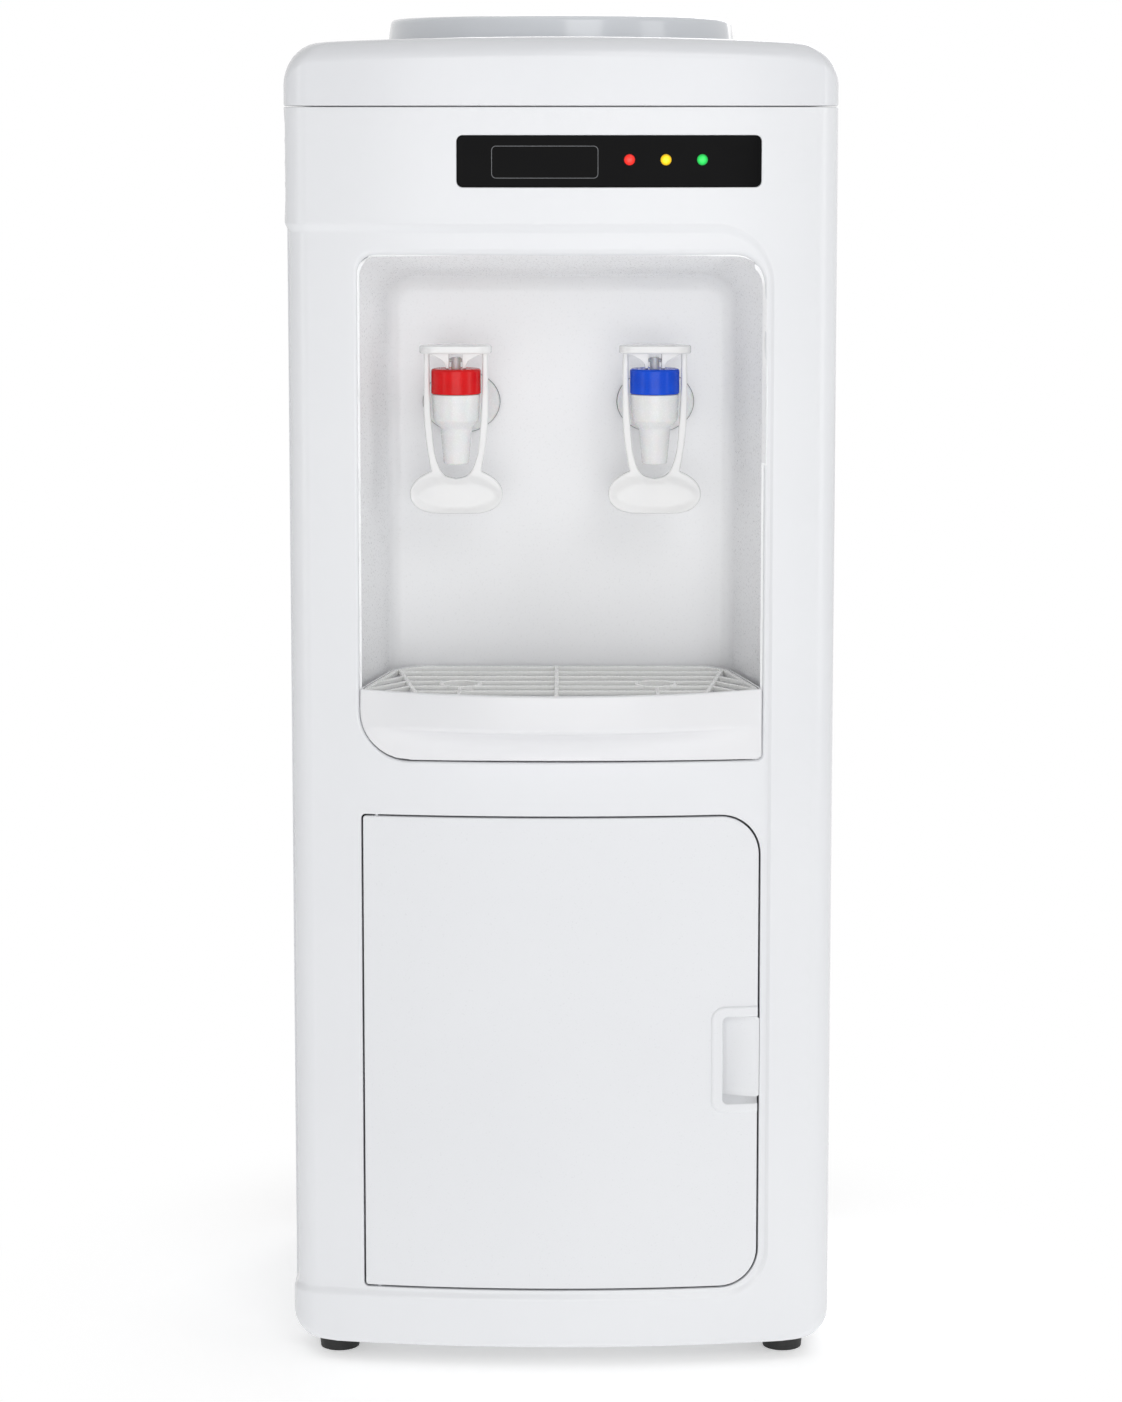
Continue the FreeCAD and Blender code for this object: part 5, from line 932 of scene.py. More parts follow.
for tap, tint, slot in (("hot", hot_red, "hot_red"), ("cold", cold_blue, "cold_blue")):
    x = TAP_PLACES[tap]
    body = softened([
        (0.0055, 0.6280, 0), (0.0055, 0.5992, 0.0004), (0.0083, 0.5992, 0.0022),
        (0.0106, 0.6232, 0.0030), (0.0151, 0.6285, 0.0040), (0.0161, 0.6457, 0.0006),
        (0.0142, 0.6457, 0), (0.0142, 0.6580, 0), (0.0110, 0.6580, 0), (0.0110, 0.6280, 0)], 6)
    shell = turned(body, (x, TAP_Y, 0), "z", 56, 40, True)
    flange = FLANGE_FRONT - 0.0003
    pipe = turned(softened([(0.0, TAP_Y + 0.0119, 0), (0.0090, TAP_Y + 0.0119, 0),
                            (0.0090, flange, 0.0004), (0.0076, flange, 0),
                            (0.0076, PIPE_END, 0.0008), (0.0, PIPE_END, 0)], 3),
                  (x, 0, TAP_HEIGHT), "y", 40)
    place_piece(f"{tap}_valve", joined(shell, pipe), tap_white, "tap_white", "cabinet",
                f"{tap}_tap_body")
    ring_line = softened([
        (0.0150, CAP_BASE, 0), (CAP_RADIUS, CAP_BASE, 0.0006), (CAP_RADIUS, CAP_TOP, 0.0018),
        (0.0031, CAP_TOP - 0.0002, 0), (0.0031, CAP_TOP - 0.0018, 0),
        (0.0150, CAP_TOP - 0.0018, 0)], 6)
    place_piece(f"{tap}_ring", turned(ring_line, (x, TAP_Y, 0), "z", 72, 40, True), tint, slot,
                "cabinet", f"{tap}_tap_cap")

    half_line = [(0.0, PADDLE_BASE), (0.008, PADDLE_BASE), (0.0155, PADDLE_BASE + 0.0002)]
    right = bent([(0.0155, PADDLE_BASE + 0.0002), (0.0223, PADDLE_BASE + 0.0019),
                  (0.0273, PADDLE_BASE + 0.0052), (0.0301, PADDLE_BASE + 0.0092),
                  (0.0307, PADDLE_BASE + 0.0134), (0.0300, PADDLE_BASE + 0.0172),
                  (0.0276, PADDLE_BASE + 0.0211), (0.0231, PADDLE_BASE + 0.0250),
                  (0.0165, PADDLE_BASE + 0.0285)], 4)
    arm_outer = bent([(0.0165, PADDLE_BASE + 0.0285), (0.0175, 0.5990), (0.0197, 0.6125),
                      (0.0210, 0.6250), (0.0214, 0.6375), (0.0213, 0.6500), (0.0211, 0.6735)], 4)
    arm_inner = bent([(0.0175, 0.6735), (0.0173, 0.6500), (0.0169, 0.6375), (0.0161, 0.6250),
                      (0.0150, 0.6125), (0.0136, 0.6040), (0.0106, 0.5958), (0.0066, 0.5915),
                      (0.0, 0.5898)], 4)
    half_line += right[1:] + arm_outer[1:] + [(0.0175, 0.6735)] + arm_inner[1:]

    def paddle_dish(px, pz):
        """The paddle's face is sunk inside a raised rim and a little hollow across."""
        dx, dz = abs(px - x), pz - (PADDLE_BASE + 0.0125)
        if pz > 0.5905:
            return 0.0
        reach = math.hypot(dx / 0.0280, dz / 0.0112) if dx > 0.012 else abs(dz) / 0.0112
        return 0.0011 * max(0.0, min(1.0, (1.06 - reach) / 0.16))

    yoke = cushion(mirrored(half_line, x), LEVER_FRONT, LEVER_BACK, 0.0011, 4, paddle_dish,
                   0.0022)
    plate_line = [(x + 0.0155, TAP_Y - 0.0148), (x + 0.0198, TAP_Y - 0.0138),
                  (x + 0.0228, TAP_Y - 0.0112), (x + 0.0238, TAP_Y - 0.0078),
                  (x + 0.0222, TAP_Y - 0.0035), (x + 0.0185, TAP_Y + 0.0020),
                  (x + 0.0140, TAP_Y + 0.0072), (x + 0.0105, TAP_Y + 0.0090)]
    plate_line = ([(x - 0.0155 + 0.0031 * k, TAP_Y - 0.0148 - 0.0002 * (1 - abs(k - 5) / 5))
                   for k in range(10)] + plate_line
                  + [(2 * x - px, py) for px, py in reversed(plate_line)][:-1])
    plate = flat_wedge(plate_line, PLATE_BASE, PLATE_TOP, 0.0013)
    cheeks = []
    for side in (-1, 1):
        flare = bent([(0.0066, 0.6632), (0.0069, 0.6655), (0.0080, 0.6676), (0.0105, 0.6694),
                      (0.0140, 0.6712), (0.0215, 0.6744)], 3)
        cheek_line = [(x + side * px, pz)
                      for px, pz in [(0.0045, 0.6632)] + flare + [(0.0045, 0.6744)]][::side]
        cheeks.append(cushion(cheek_line, TAP_Y - 0.0098, TAP_Y + 0.0068, 0.0004, 2, None,
                              0.006))
    place_piece(f"{tap}_lever", joined(yoke, plate, *cheeks), lever_white, "lever_white",
                f"{tap}_lever", f"{tap}_tap_lever")

# A dark seal behind each flange stands out just past its rim: a rubber seal that also paints the
# shadow line of the gap round the flange.
flanges, seal_and_shadow_rings = [], []
for x in TAP_PLACES.values():
    for made, grow, front, back, edge in (
            (flanges, 0.0, FLANGE_FRONT, FLANGE_BACK + 0.0002, 0.0012),
            (seal_and_shadow_rings, 0.00035, -0.0462, FLANGE_BACK + 0.0003, 0.0003)):
        line = [(x + 0.002 + (0.026 + grow) * math.cos(math.radians(5 * k)),
                 TAP_HEIGHT + (0.021 + grow) * math.sin(math.radians(5 * k)))
                for k in range(72)]
        made.append(cushion(line, front, back, edge, 4, None, 0.007))
place_piece("flange_plates", joined(*flanges), tap_white, "tap_white", "cabinet", "tap_flanges")
place_piece("flange_seals_and_shadow_line", joined(*seal_and_shadow_rings), seal_and_shadow_grey, "rubber_black", "cabinet")
finish_nodes(tap_white, "hot_tap_stem", "cold_tap_stem", "tap_nuts")

# ---------------------------------------------------------------- drip tray
# The tray is a deep drawer in glossy white ABS that slides out of the niche's foot. Its front
# stands proud, bowed more than the panel, over a cove that the fingers pull it out by.

TRAY_HALF, TRAY_TOP, TRAY_CREASE, TRAY_BASE = 0.1318, 0.4555, 0.4320, 0.4090
TRAY_PROUD, TRAY_RIM, TRAY_LEDGE, TRAY_FLOOR = 0.020, 0.0022, 0.4519, 0.4125
TRAY_END = on_front(along(TRAY_HALF), 0, STEP_DEPTH)[0].y
FLUSH_BOW = TRAY_END + FRONT_REACH - STEP_DEPTH
FULL_BOW = TRAY_END + FRONT_REACH + TRAY_PROUD
SHOULDER_X, SHOULDER_Y, REAR_X, REAR_Y = 0.1160, -0.0690, 0.1010, -0.0490
CREASE_ROUND, RIM_ROUND = 0.0014, 0.0016
TRAY_INSIDE = ((TRAY_TOP, 1.0, TRAY_RIM - 0.0002), (TRAY_TOP - 0.0002, 1.0, TRAY_RIM),
               (TRAY_LEDGE, 1.0, TRAY_RIM), (TRAY_LEDGE, 1.0, 0.0052),
               (TRAY_LEDGE - 0.0004, 1.0, 0.0056), (0.4350, 1.0, 0.0060),
               (0.4325, 0.62, 0.0064), (0.4215, 0.20, 0.0066), (0.4160, 0.0, 0.0070),
               (TRAY_FLOOR + 0.0010, 0.0, 0.0080), (TRAY_FLOOR, 0.0, 0.0104))


def tray_outline(proud, inset, left=-1.0, right=1.0, soft=0.0):
    """One level of the tray from above, counter-clockwise from its front left corner.
    soft is the rounding where its front meets its sides."""
    half = TRAY_HALF - inset
    left, right = max(left, -half), min(right, half)
    bow = max(0.002, FLUSH_BOW + (FULL_BOW - FLUSH_BOW) * proud - inset)
    radius = (half ** 2 + bow ** 2) / (2 * bow)
    line = []
    near_end = [0.0, 0.00010, 0.00032, 0.00065, 0.0011]
    inner = [0.0011 + (right - left - 0.0022) * k / 52 for k in range(1, 52)]
    for reach in near_end + inner + [right - left - e for e in reversed(near_end)]:
        x = left + reach
        edge = min(reach, right - left - reach)
        back = soft - math.sqrt(soft ** 2 - (soft - edge) ** 2) if edge < soft else 0.0
        line.append((x, TRAY_END - bow + radius - math.sqrt(radius ** 2 - x ** 2) + back))
    ends = [(half, TRAY_END + 0.008, 2), (SHOULDER_X - inset, SHOULDER_Y, 8),
            (REAR_X - inset, REAR_Y - inset, 4), (inset - REAR_X, REAR_Y - inset, 20),
            (inset - SHOULDER_X, SHOULDER_Y, 4), (-half, TRAY_END + 0.008, 8)]
    for x, y, steps in ends:
        bx, by = line[-1]
        line += [(bx + (x - bx) * k / steps, by + (y - by) * k / steps)
                 for k in range(1, steps + 1)]
    return [(min(max(x, left), right), y) for x, y in line]


def tray_row(z, proud, inset=0.0, spread=None):
    """Adds one level; the lower corners are rounded, widely at the left."""
    grow = inset if spread is None else spread
    reach = []
    for radius in (0.032, 0.003):
        size = max(0.0005, radius - grow)
        below = min(size, radius - grow * 0.8, max(0.0, TRAY_BASE + radius - z))
        reach.append(TRAY_HALF - inset - size + math.sqrt(max(0.0, size ** 2 - below ** 2)))
    line = tray_outline(proud, inset, -reach[0], reach[1], 0.0011 if inset < 0.002 else 0.0)
    rows.append(add_row(places, [(x, y, z) for x, y in line]))


places, rows, faces = [], [], []
tray_row(TRAY_BASE, 0.0, 0.0012)
tray_row(TRAY_BASE + 0.0004, 0.0, 0.0004)
tray_row(TRAY_BASE + 0.0012, 0.003)
for k in range(1, 21):
    share = (k / 20) ** 0.75
    tray_row(TRAY_BASE + 0.0012 + (TRAY_CREASE - TRAY_BASE - 0.0026) * share, 0.92 * share ** 3.0)
for angle in (20, 45, 70, 90):
    turn = math.radians(angle)
    tray_row(TRAY_CREASE - CREASE_ROUND * (math.cos(turn) - math.sin(turn)),
             0.92 + 0.08 * math.sin(turn))
for z in (0.4365, 0.4415, 0.4470, TRAY_TOP - RIM_ROUND):
    tray_row(z, 1.0)
for inset, rise in quarter(RIM_ROUND, (22, 45, 68, 90)):
    tray_row(TRAY_TOP - inset, 1.0, rise, 0.0)
for level in TRAY_INSIDE:
    tray_row(*level)
bridge(rows, faces)
for number, height in ((0, TRAY_BASE), (-1, TRAY_FLOOR)):
    outline = flat_line(places, rows[number], "y")
    spare = grid(places, outline, [0.0115 * k for k in range(-10, 11)],
                 [-0.150 + 0.0115 * k for k in range(9)], 0.005, lambda a, b: (a, b, height))
    lid = cap_flat(outline, [], spare)
    faces += lid if number else [face[::-1] for face in lid]
tray_white = surface("tray_white", (0.80, 0.80, 0.815), (0.775, 0.78, 0.80), 0.16,
                     (0.17, 0.24), 0.0013, (0.05, 0.0003))
place_piece("tray_drawer", solid_mesh(places, faces, 0.0, 30), tray_white, "tray_white", "tray",
            "drip_tray")

# ---------------------------------------------------------------- grille
# The lift-out grille is one lattice in a warmer white: a rim, long slats each side of a middle
# rib, slanting ribs with a fan of short ones outside them, and two rings where cups stand.

GRILLE_TOP, GRILLE_MARGIN, GRILLE_RIM = 0.4552, 0.0025, 0.0034
SLAT_WIDTH, SLAT_HEIGHT, SLAT_PITCH = 0.0030, 0.0028, 0.0205
SLAT_ROUNDING = 0.0007
RING_PLACES = ((-0.0665, -0.126), (0.0630, -0.126))
RING_RADIUS, RING_BORE, RING_DROP = 0.0143, 0.0115, 0.0050
RIB_BACK, RIB_FRONT = -0.045, -0.190
SLAT_REAR = -0.054


def moulded_bars():
    """A tree that turns each drawn line into a bar with rounded edges, standing upright."""
    tree = bpy.data.node_groups.new("moulded_bars", "GeometryNodeTree")
    tree.interface.new_socket("Bars", in_out="OUTPUT", socket_type="NodeSocketGeometry")
    for name, kind in (("Lines", "Geometry"), ("Width", "Float"), ("Height", "Float"),
                       ("Rounding", "Float"), ("Finish", "Material")):
        tree.interface.new_socket(name, in_out="INPUT", socket_type="NodeSocket" + kind)

    def add(kind, **inputs):
        made = tree.nodes.new(kind)
        for key, value in inputs.items():
            if isinstance(value, bpy.types.NodeSocket):
                tree.links.new(value, made.inputs[key.replace("_", " ")])
            else:
                made.inputs[key.replace("_", " ")].default_value = value
        return made.outputs[0] if made.outputs else made

    sizes = tree.nodes.new("NodeGroupInput").outputs
    runs = add("GeometryNodeMeshToCurve", Mesh=sizes["Lines"])
    upright = add("GeometryNodeSetCurveNormal", Curve=runs)
    if hasattr(upright.node, "mode"):
        upright.node.mode = "Z_UP"
    else:
        upright.node.inputs["Mode"].default_value = "Z Up"
    section = add("GeometryNodeCurvePrimitiveQuadrilateral", Width=sizes["Height"],
                  Height=sizes["Width"])
    soft = add("GeometryNodeFilletCurve", Curve=section, Radius=sizes["Rounding"])
    if hasattr(soft.node, "mode"):
        soft.node.mode = "POLY"
    soft.node.inputs["Count"].default_value = 2
    solid = add("GeometryNodeCurveToMesh", Curve=upright, Profile_Curve=soft, Fill_Caps=True)
    whole = add("GeometryNodeRealizeInstances", Geometry=solid)
    coat = add("GeometryNodeSetMaterial", Geometry=whole, Material=sizes["Finish"])
    add("NodeGroupOutput", Bars=coat)
    return tree


def grown(lines, width, sharp=35):
    """The bars that the tree grows on drawn lines; each line is a list of flat points."""
    spots, edges = [], []
    for line in lines:
        edges += [(len(spots) + k, len(spots) + k + 1) for k in range(len(line) - 1)]
        spots += [(*spot, MID_Z) for spot in line]
    drawn = bpy.data.meshes.new("lines")
    drawn.from_pydata(spots, edges, [])
    holder = bpy.data.objects.new("lines", drawn)
    bpy.context.scene.collection.objects.link(holder)
    growth = holder.modifiers.new("growth", "NODES")
    growth.node_group = bars_tree
    sizes = {"Width": width, "Height": SLAT_HEIGHT, "Rounding": SLAT_ROUNDING,
             "Finish": grille_white}
    for item in bars_tree.interface.items_tree:
        if item.in_out == "INPUT" and item.name in sizes:
            growth[item.identifier] = sizes[item.name]
    graph = bpy.context.evaluated_depsgraph_get()
    made = bpy.data.meshes.new_from_object(holder.evaluated_get(graph), depsgraph=graph)
    bpy.data.objects.remove(holder)
    return shaded(made, sharp)


# Painted light: the grille's white is set brighter than the other mouldings, to lift the shade it
# lies in at the niche's foot.
grille_white = surface("grille_white", (0.93, 0.93, 0.915), (0.91, 0.91, 0.895), 0.05,
                       (0.22, 0.30), 0.0010, (0.05, 0.0003))
bars_tree = moulded_bars()
rim_section = [(0.0, -0.0030), (0.0, -0.0008), (0.0003, -0.0002), (0.0008, 0.0),
               (GRILLE_RIM - 0.0008, 0.0), (GRILLE_RIM - 0.0003, -0.0002),
               (GRILLE_RIM, -0.0008), (GRILLE_RIM, -0.0030)]
places, faces = [], []
rows = [add_row(places, [(x, y, GRILLE_TOP + drop)
                         for x, y in tray_outline(1.0, GRILLE_MARGIN + inset)])
        for inset, drop in rim_section]
bridge(rows + [rows[0]], faces)
rim = solid_mesh(places, faces)
field = tray_outline(1.0, GRILLE_MARGIN + 0.5 * GRILLE_RIM)
MID_Z = GRILLE_TOP - SLAT_HEIGHT / 2 - 0.0002


def field_edges(start, finish):
    """Where a straight run enters and leaves the rim's inside."""
    cuts = []
    for k in range(401):
        share = k / 400
        spot = tuple(a + (b - a) * share for a, b in zip(start, finish))
        if inside(spot, field):
            cuts.append(spot)
    return cuts[0], cuts[-1]


def slant_x(y):
    """How far out the slanting rib stands at a distance from the back."""
    return 0.0935 + (y + 0.175) * (0.1110 - 0.0935) / (0.175 - 0.054)


def clear_of_rings(start, finish):
    """A run split where it would cross the bores of the rings."""
    runs, left = [], start
    for x, y in sorted(RING_PLACES):
        gap = (RING_BORE + 0.0014) ** 2 - (start[1] - y) ** 2
        if gap > 0 and abs(start[1] - finish[1]) < 1e-6:
            reach = math.sqrt(gap)
            if left[0] < x - reach < finish[0]:
                runs.append((left, (x - reach, start[1])))
                left = (x + reach, start[1])
    runs.append((left, finish))
    return runs


lines, thick_lines = [], []
for number in range(1, 6):
    y = SLAT_REAR - SLAT_PITCH * number
    lines += clear_of_rings((-slant_x(y), y), (slant_x(y), y))
for side in (-1, 1):
    thick_lines.append(field_edges((side * slant_x(RIB_BACK), RIB_BACK),
                                   (side * slant_x(RIB_FRONT), RIB_FRONT)))
    for number in range(2, 5):
        y = SLAT_REAR - SLAT_PITCH * number
        lines.append(field_edges((side * slant_x(y), y),
                                 (side * (slant_x(y) + 0.034), y - 0.044)))
for x, y in RING_PLACES:
    start = (x, y - RING_RADIUS + 0.001)
    lines.append((start, field_edges(start, (x, RIB_FRONT))[1]))
parts = [rim, grown(lines, SLAT_WIDTH), grown(thick_lines, SLAT_WIDTH + 0.0006),
         grown([field_edges((-0.003, RIB_BACK), (-0.003, RIB_FRONT))], 0.0042)]
ring_section = softened([
    (RING_BORE, GRILLE_TOP - RING_DROP, 0), (RING_RADIUS, GRILLE_TOP - RING_DROP, 0.0003),
    (RING_RADIUS, GRILLE_TOP, 0.0006), (RING_BORE, GRILLE_TOP, 0.0006),
    (RING_BORE, GRILLE_TOP - RING_DROP, 0)], 4)[:-1]
for x, y in RING_PLACES:
    parts.append(turned(ring_section, (x, y, 0), "z", 72, 40, True))
place_piece("grille_lattice", joined(*parts), grille_white, "grille_white", "grille",
            "drip_grille")

# ---------------------------------------------------------------- storage door
# The door is a hollow satin-white moulding bowed like the panel, with square corners at its
# hinge side and round ones at its free side. A separate finger pull clips into its edge.

DOOR_BACK = 0.0225
DOOR_ROLL = 0.0010
PULL_LEFT, PULL_BASE, PULL_TOP, PULL_RIGHT = 0.0997, 0.1705, 0.2430, 0.1307
PULL_RIM, PULL_CORNER, PULL_PROUD = 0.0078, 0.0092, 0.0013
PULL_ROLL, PULL_INNER_ROLL = 0.0022, 0.0012

door_white = surface("door_white", (0.785, 0.795, 0.815), (0.765, 0.775, 0.797), 0.26,
                     (0.27, 0.34), 0.0012, (0.07, 0.0004))
line, away = rounded(along(-0.131), 0.052, along(0.131), 0.371, (0.002, 0.025, 0.026, 0.002))
side = along(0.131)
notch_left, notch_base, notch_top = along(0.1045), PULL_BASE + 0.0042, PULL_TOP - 0.0042
kept = [(p, a) for p, a in zip(line, away)
        if not (abs(p[0] - side) < 1e-6 and notch_base - 0.004 < p[1] < notch_top + 0.004)]
cut_at = max(k for k, (p, a) in enumerate(kept)
             if abs(p[0] - side) < 1e-6 and p[1] < notch_base)
notch = [((side, notch_base), (1, 1)), ((notch_left, notch_base), (1, 1)),
         ((notch_left, notch_top), (1, -1)), ((side, notch_top), (1, -1))]
kept[cut_at + 1:cut_at + 1] = notch
line, away = [p for p, _ in kept], [a for _, a in kept]
door = Moulding()
door_flat = {}
roots = [(x - ax * DOOR_ROLL, y - ay * DOOR_ROLL) for (x, y), (ax, ay) in zip(line, away)]
row = []
for (x, y), (ax, ay) in zip(roots, away):
    land = on_front(x - ax * 0.002, y - ay * 0.002, DOOR_BACK - 0.0003)[0]
    row.append(door.point((x, y), STEP_DEPTH, back=land))
door_flat.update(zip(row, roots))
door.fill(row, [], door_flat, STEP_DEPTH)
door.roll(row, roots, away, [DOOR_ROLL] * len(row), [STEP_DEPTH] * len(row),
          DOOR_BACK - STEP_DEPTH, 4, flip=True)
place_piece("door_face", door.mesh(), door_white, "door_white", "storage_door", "door_panel")


def pull_path(left, base, top, right, corner):
    """The pull's outline from its upper right end round to its lower right end."""
    run = right - left - corner
    path = [(right, top), (right - 0.00035, top)]
    path += [(right - run * k / 4, top) for k in range(1, 4)]
    for z, start in ((top - corner, 90), (base + corner, 180)):
        turn = [math.radians(start + 90 * k / 8) for k in range(9)]
        path += [(left + corner + corner * math.cos(a), z + corner * math.sin(a)) for a in turn]
        if start == 90:
            path += [(left, z - (top - base - 2 * corner) * k / 8) for k in range(1, 8)]
    path += [(left + corner + run * k / 4, base) for k in range(1, 4)]
    path += [(right - 0.00035, base), (right, base)]
    return [(along(x), z) for x, z in path]


outer_path = pull_path(PULL_LEFT, PULL_BASE, PULL_TOP, PULL_RIGHT, PULL_CORNER)
inner_path = pull_path(PULL_LEFT + PULL_RIM, PULL_BASE + PULL_RIM - 0.0012,
                       PULL_TOP - PULL_RIM + 0.0006, PULL_RIGHT, 0.0034)
floor_path = pull_path(PULL_LEFT + PULL_RIM + 0.0006, PULL_BASE + PULL_RIM + 0.0030,
                       PULL_TOP - PULL_RIM - 0.0002, PULL_RIGHT, 0.0030)


def pull_depth(s, z=0.0):
    """The pocket's floor: deepest behind the left rim, level with the door at its free edge."""
    share = (along(0.1318) - s) / (along(0.1318) - along(PULL_LEFT + PULL_RIM))
    share = max(0.0, min(1.0, share))
    return STEP_DEPTH + 0.0003 + 0.0125 * share ** 1.35


pull = Moulding(wall=0.0018)
pull_flat = {}
last = len(outer_path) - 1
proud = [PULL_PROUD - (0.0004 if k in (0, last) else 0.0) for k in range(last + 1)]
rim_rows = []
for inner in (False, True):
    for turn in (0, 22, 45, 68, 90):
        sine, cosine = math.sin(math.radians(turn)), math.cos(math.radians(turn))
        row = []
        for k, ((ox, oz), (ix, iz)) in enumerate(zip(outer_path, inner_path)):
            gap = math.dist((ox, oz), (ix, iz))
            ax, az = (ix - ox) / gap, (iz - oz) / gap
            if inner:
                reach = PULL_INNER_ROLL * (1 - sine)
                place, lean = (ix - ax * reach, iz - az * reach), (ax * sine, az * sine)
                depth = STEP_DEPTH - proud[k] + PULL_INNER_ROLL * (1 - cosine)
            else:
                reach = PULL_ROLL * (1 - cosine)
                place = (ox + ax * reach, oz + az * reach)
                lean = (-ax * cosine * 0.85, -az * cosine * 0.85)
                depth = STEP_DEPTH + 0.0001 - (proud[k] + 0.0001) * sine
            row.append(pull.point(place, depth, lean))
        rim_rows.append(row)
floor_rows = []
for share in (0.0, 0.5, 0.85, 1.0):
    row = []
    for (ix, iz), (fx, fz) in zip(inner_path, floor_path):
        spot = (ix + (fx - ix) * share, iz + (fz - iz) * share)
        start = STEP_DEPTH - PULL_PROUD + 0.0014
        depth = start + (pull_depth(*spot) - start) * share
        length = math.dist((ix, iz), (fx, fz)) or 1.0
        ax, az = (fx - ix) / length, (fz - iz) / length
        lean = 0.9 if share < 0.9 else 0.35
        row.append(pull.point(spot, max(start, depth), (ax * lean, az * lean)))
    floor_rows.append(row)
for first, second in zip(rim_rows + floor_rows, (rim_rows + floor_rows)[1:]):
    pull.strip(first, second, closed=False)
floor_edge = [(along(0.1319), PULL_BASE + PULL_RIM + 0.0030 + 0.0006
               + (PULL_TOP - PULL_BASE - 2 * PULL_RIM - 0.0044) * k / 8) for k in range(9)]
floor_line = [pull.point(spot, pull_depth(*spot)) for spot in floor_edge]
pull_flat.update(zip(floor_rows[-1], floor_path))
pull_flat.update(zip(floor_line, floor_edge))
pull.fill(floor_rows[-1] + floor_line, [], pull_flat, pull_depth, 0.004, 0.006)
rows = rim_rows + floor_rows
border = (rim_rows[0] + [row[-1] for row in rows[1:]] + floor_line
          + [row[0] for row in rows[:0:-1]])
for a, b in zip(border, border[1:] + border[:1]):
    pull.edge_faces.append((b, a, -1 - a, -1 - b))
place_piece("door_pull", pull.mesh(), door_white, "door_white", "storage_door", "door_handle")

# ---------------------------------------------------------------- storage compartment
# Behind the door is a plain moulded tub. The door turns on two steel pins at its left, and a
# magnet in the panel holds a small steel plate on the door's inner skin.

tub_white = surface("tub_white", (0.76, 0.77, 0.78), (0.73, 0.74, 0.755), 0.20, (0.38, 0.48),
                    0.0010, (0.14, 0.0004))
zinc_steel = surface("zinc_steel", (0.56, 0.57, 0.58), (0.46, 0.47, 0.49), 0.006, (0.28, 0.44),
                     0.0006, (0.10, 0.0002), 1.0)
magnet_grey = surface("magnet_grey", (0.070, 0.070, 0.074), (0.045, 0.045, 0.048), 0.010,
                      (0.55, 0.7), 0.0005, (0.2, 0.0002))
finish_nodes(tub_white, "storage_liner", "door_liner")
finish_nodes(zinc_steel, "hinge_pins", "strike_plate")
finish_nodes(magnet_grey, "door_magnet")

# ---------------------------------------------------------------- top cover
# The cover is a crowned lid moulded in the cabinet's white ABS. Its edges are rounded off
# gently at the front and widely at the sides, and a round well takes the bottle seat.

COVER_BASE, COVER_TOP, CROWN = 0.8348, 0.8790, 0.0045
COVER_REAR = 0.150
COVER_REACH, COVER_MIDDLE = 0.1575, -0.0075
SEAT_Y, SEAT_RADIUS, SEAT_LEDGE = 0.010, 0.118, 0.858
WELL, WELL_ROUND = SEAT_RADIUS + 0.0003, 0.0014
SIDE_END = CORNER_END + COVER_REAR - CORNER - CORNER_Y


def cover_plan():
    """The lid's outline from above, with the outward direction at each point."""
    line = []
    for s, _ in split((-SIDE_END, 0.0), (SIDE_END, 0.0), 0.010):
        spot, out = on_front(s, 0, 0)[:2]
        line.append(((spot.x, spot.y), (out.x, out.y)))

    def corner(x, start, count):
        for k in range(count):
            angle = math.radians(start + 90 * k / 12)
            away = math.cos(angle), math.sin(angle)
            line.append(((x + CORNER * away[0], COVER_REAR - CORNER + CORNER * away[1]), away))

    corner(CORNER_X, 0, 13)
    for k in range(1, 26):
        line.append(((CORNER_X - 2 * CORNER_X * k / 26, COVER_REAR), (0, 1)))
    corner(-CORNER_X, 90, 12)
    return line


def crown(x, y):
    """The height of the crowned top."""
    return COVER_TOP - CROWN * (x / HALF_WIDTH) ** 2


def cover_row(inset, drop=None, z=None):
    """One level of the lid's skirt: pulled in by a share of its rounding, or at a height."""
    wide, deep = (1.0, 1.0) if drop is None else (0.023, 0.013)
    spots = []
    for (x, y), (nx, _) in cover_outline:
        across = x * (1 - wide * inset / HALF_WIDTH)
        height = z if z is not None else crown(across, 0) - (0.013 + 0.014 * nx * nx) * drop
        spots.append((across, COVER_MIDDLE + (y - COVER_MIDDLE) * (1 - deep * inset / COVER_REACH),
                      height))
    rows.append(add_row(places, spots))


cover_outline = cover_plan()
places, rows, faces = [], [], []
cover_row(0.0009, z=COVER_BASE)
cover_row(0.0003, z=COVER_BASE + 0.0002)
cover_row(0.0, z=COVER_BASE + 0.0009)
for inset, rise in quarter(1, (0, 4, 9, 16, 24, 33, 43, 53, 63, 73, 82, 90)):
    cover_row(rise, drop=inset)
bridge(rows, faces)


def well_row(radius, z=None, drop=0.0):
    """A circle of the well, at a height or at a drop below the crowned top."""
    spots = []
    for k in range(96):
        angle = math.radians(3.75 * k)
        x, y = radius * math.cos(angle), SEAT_Y + radius * math.sin(angle)
        spots.append((x, y, crown(x, y) - drop if z is None else z))
    return add_row(places, spots)


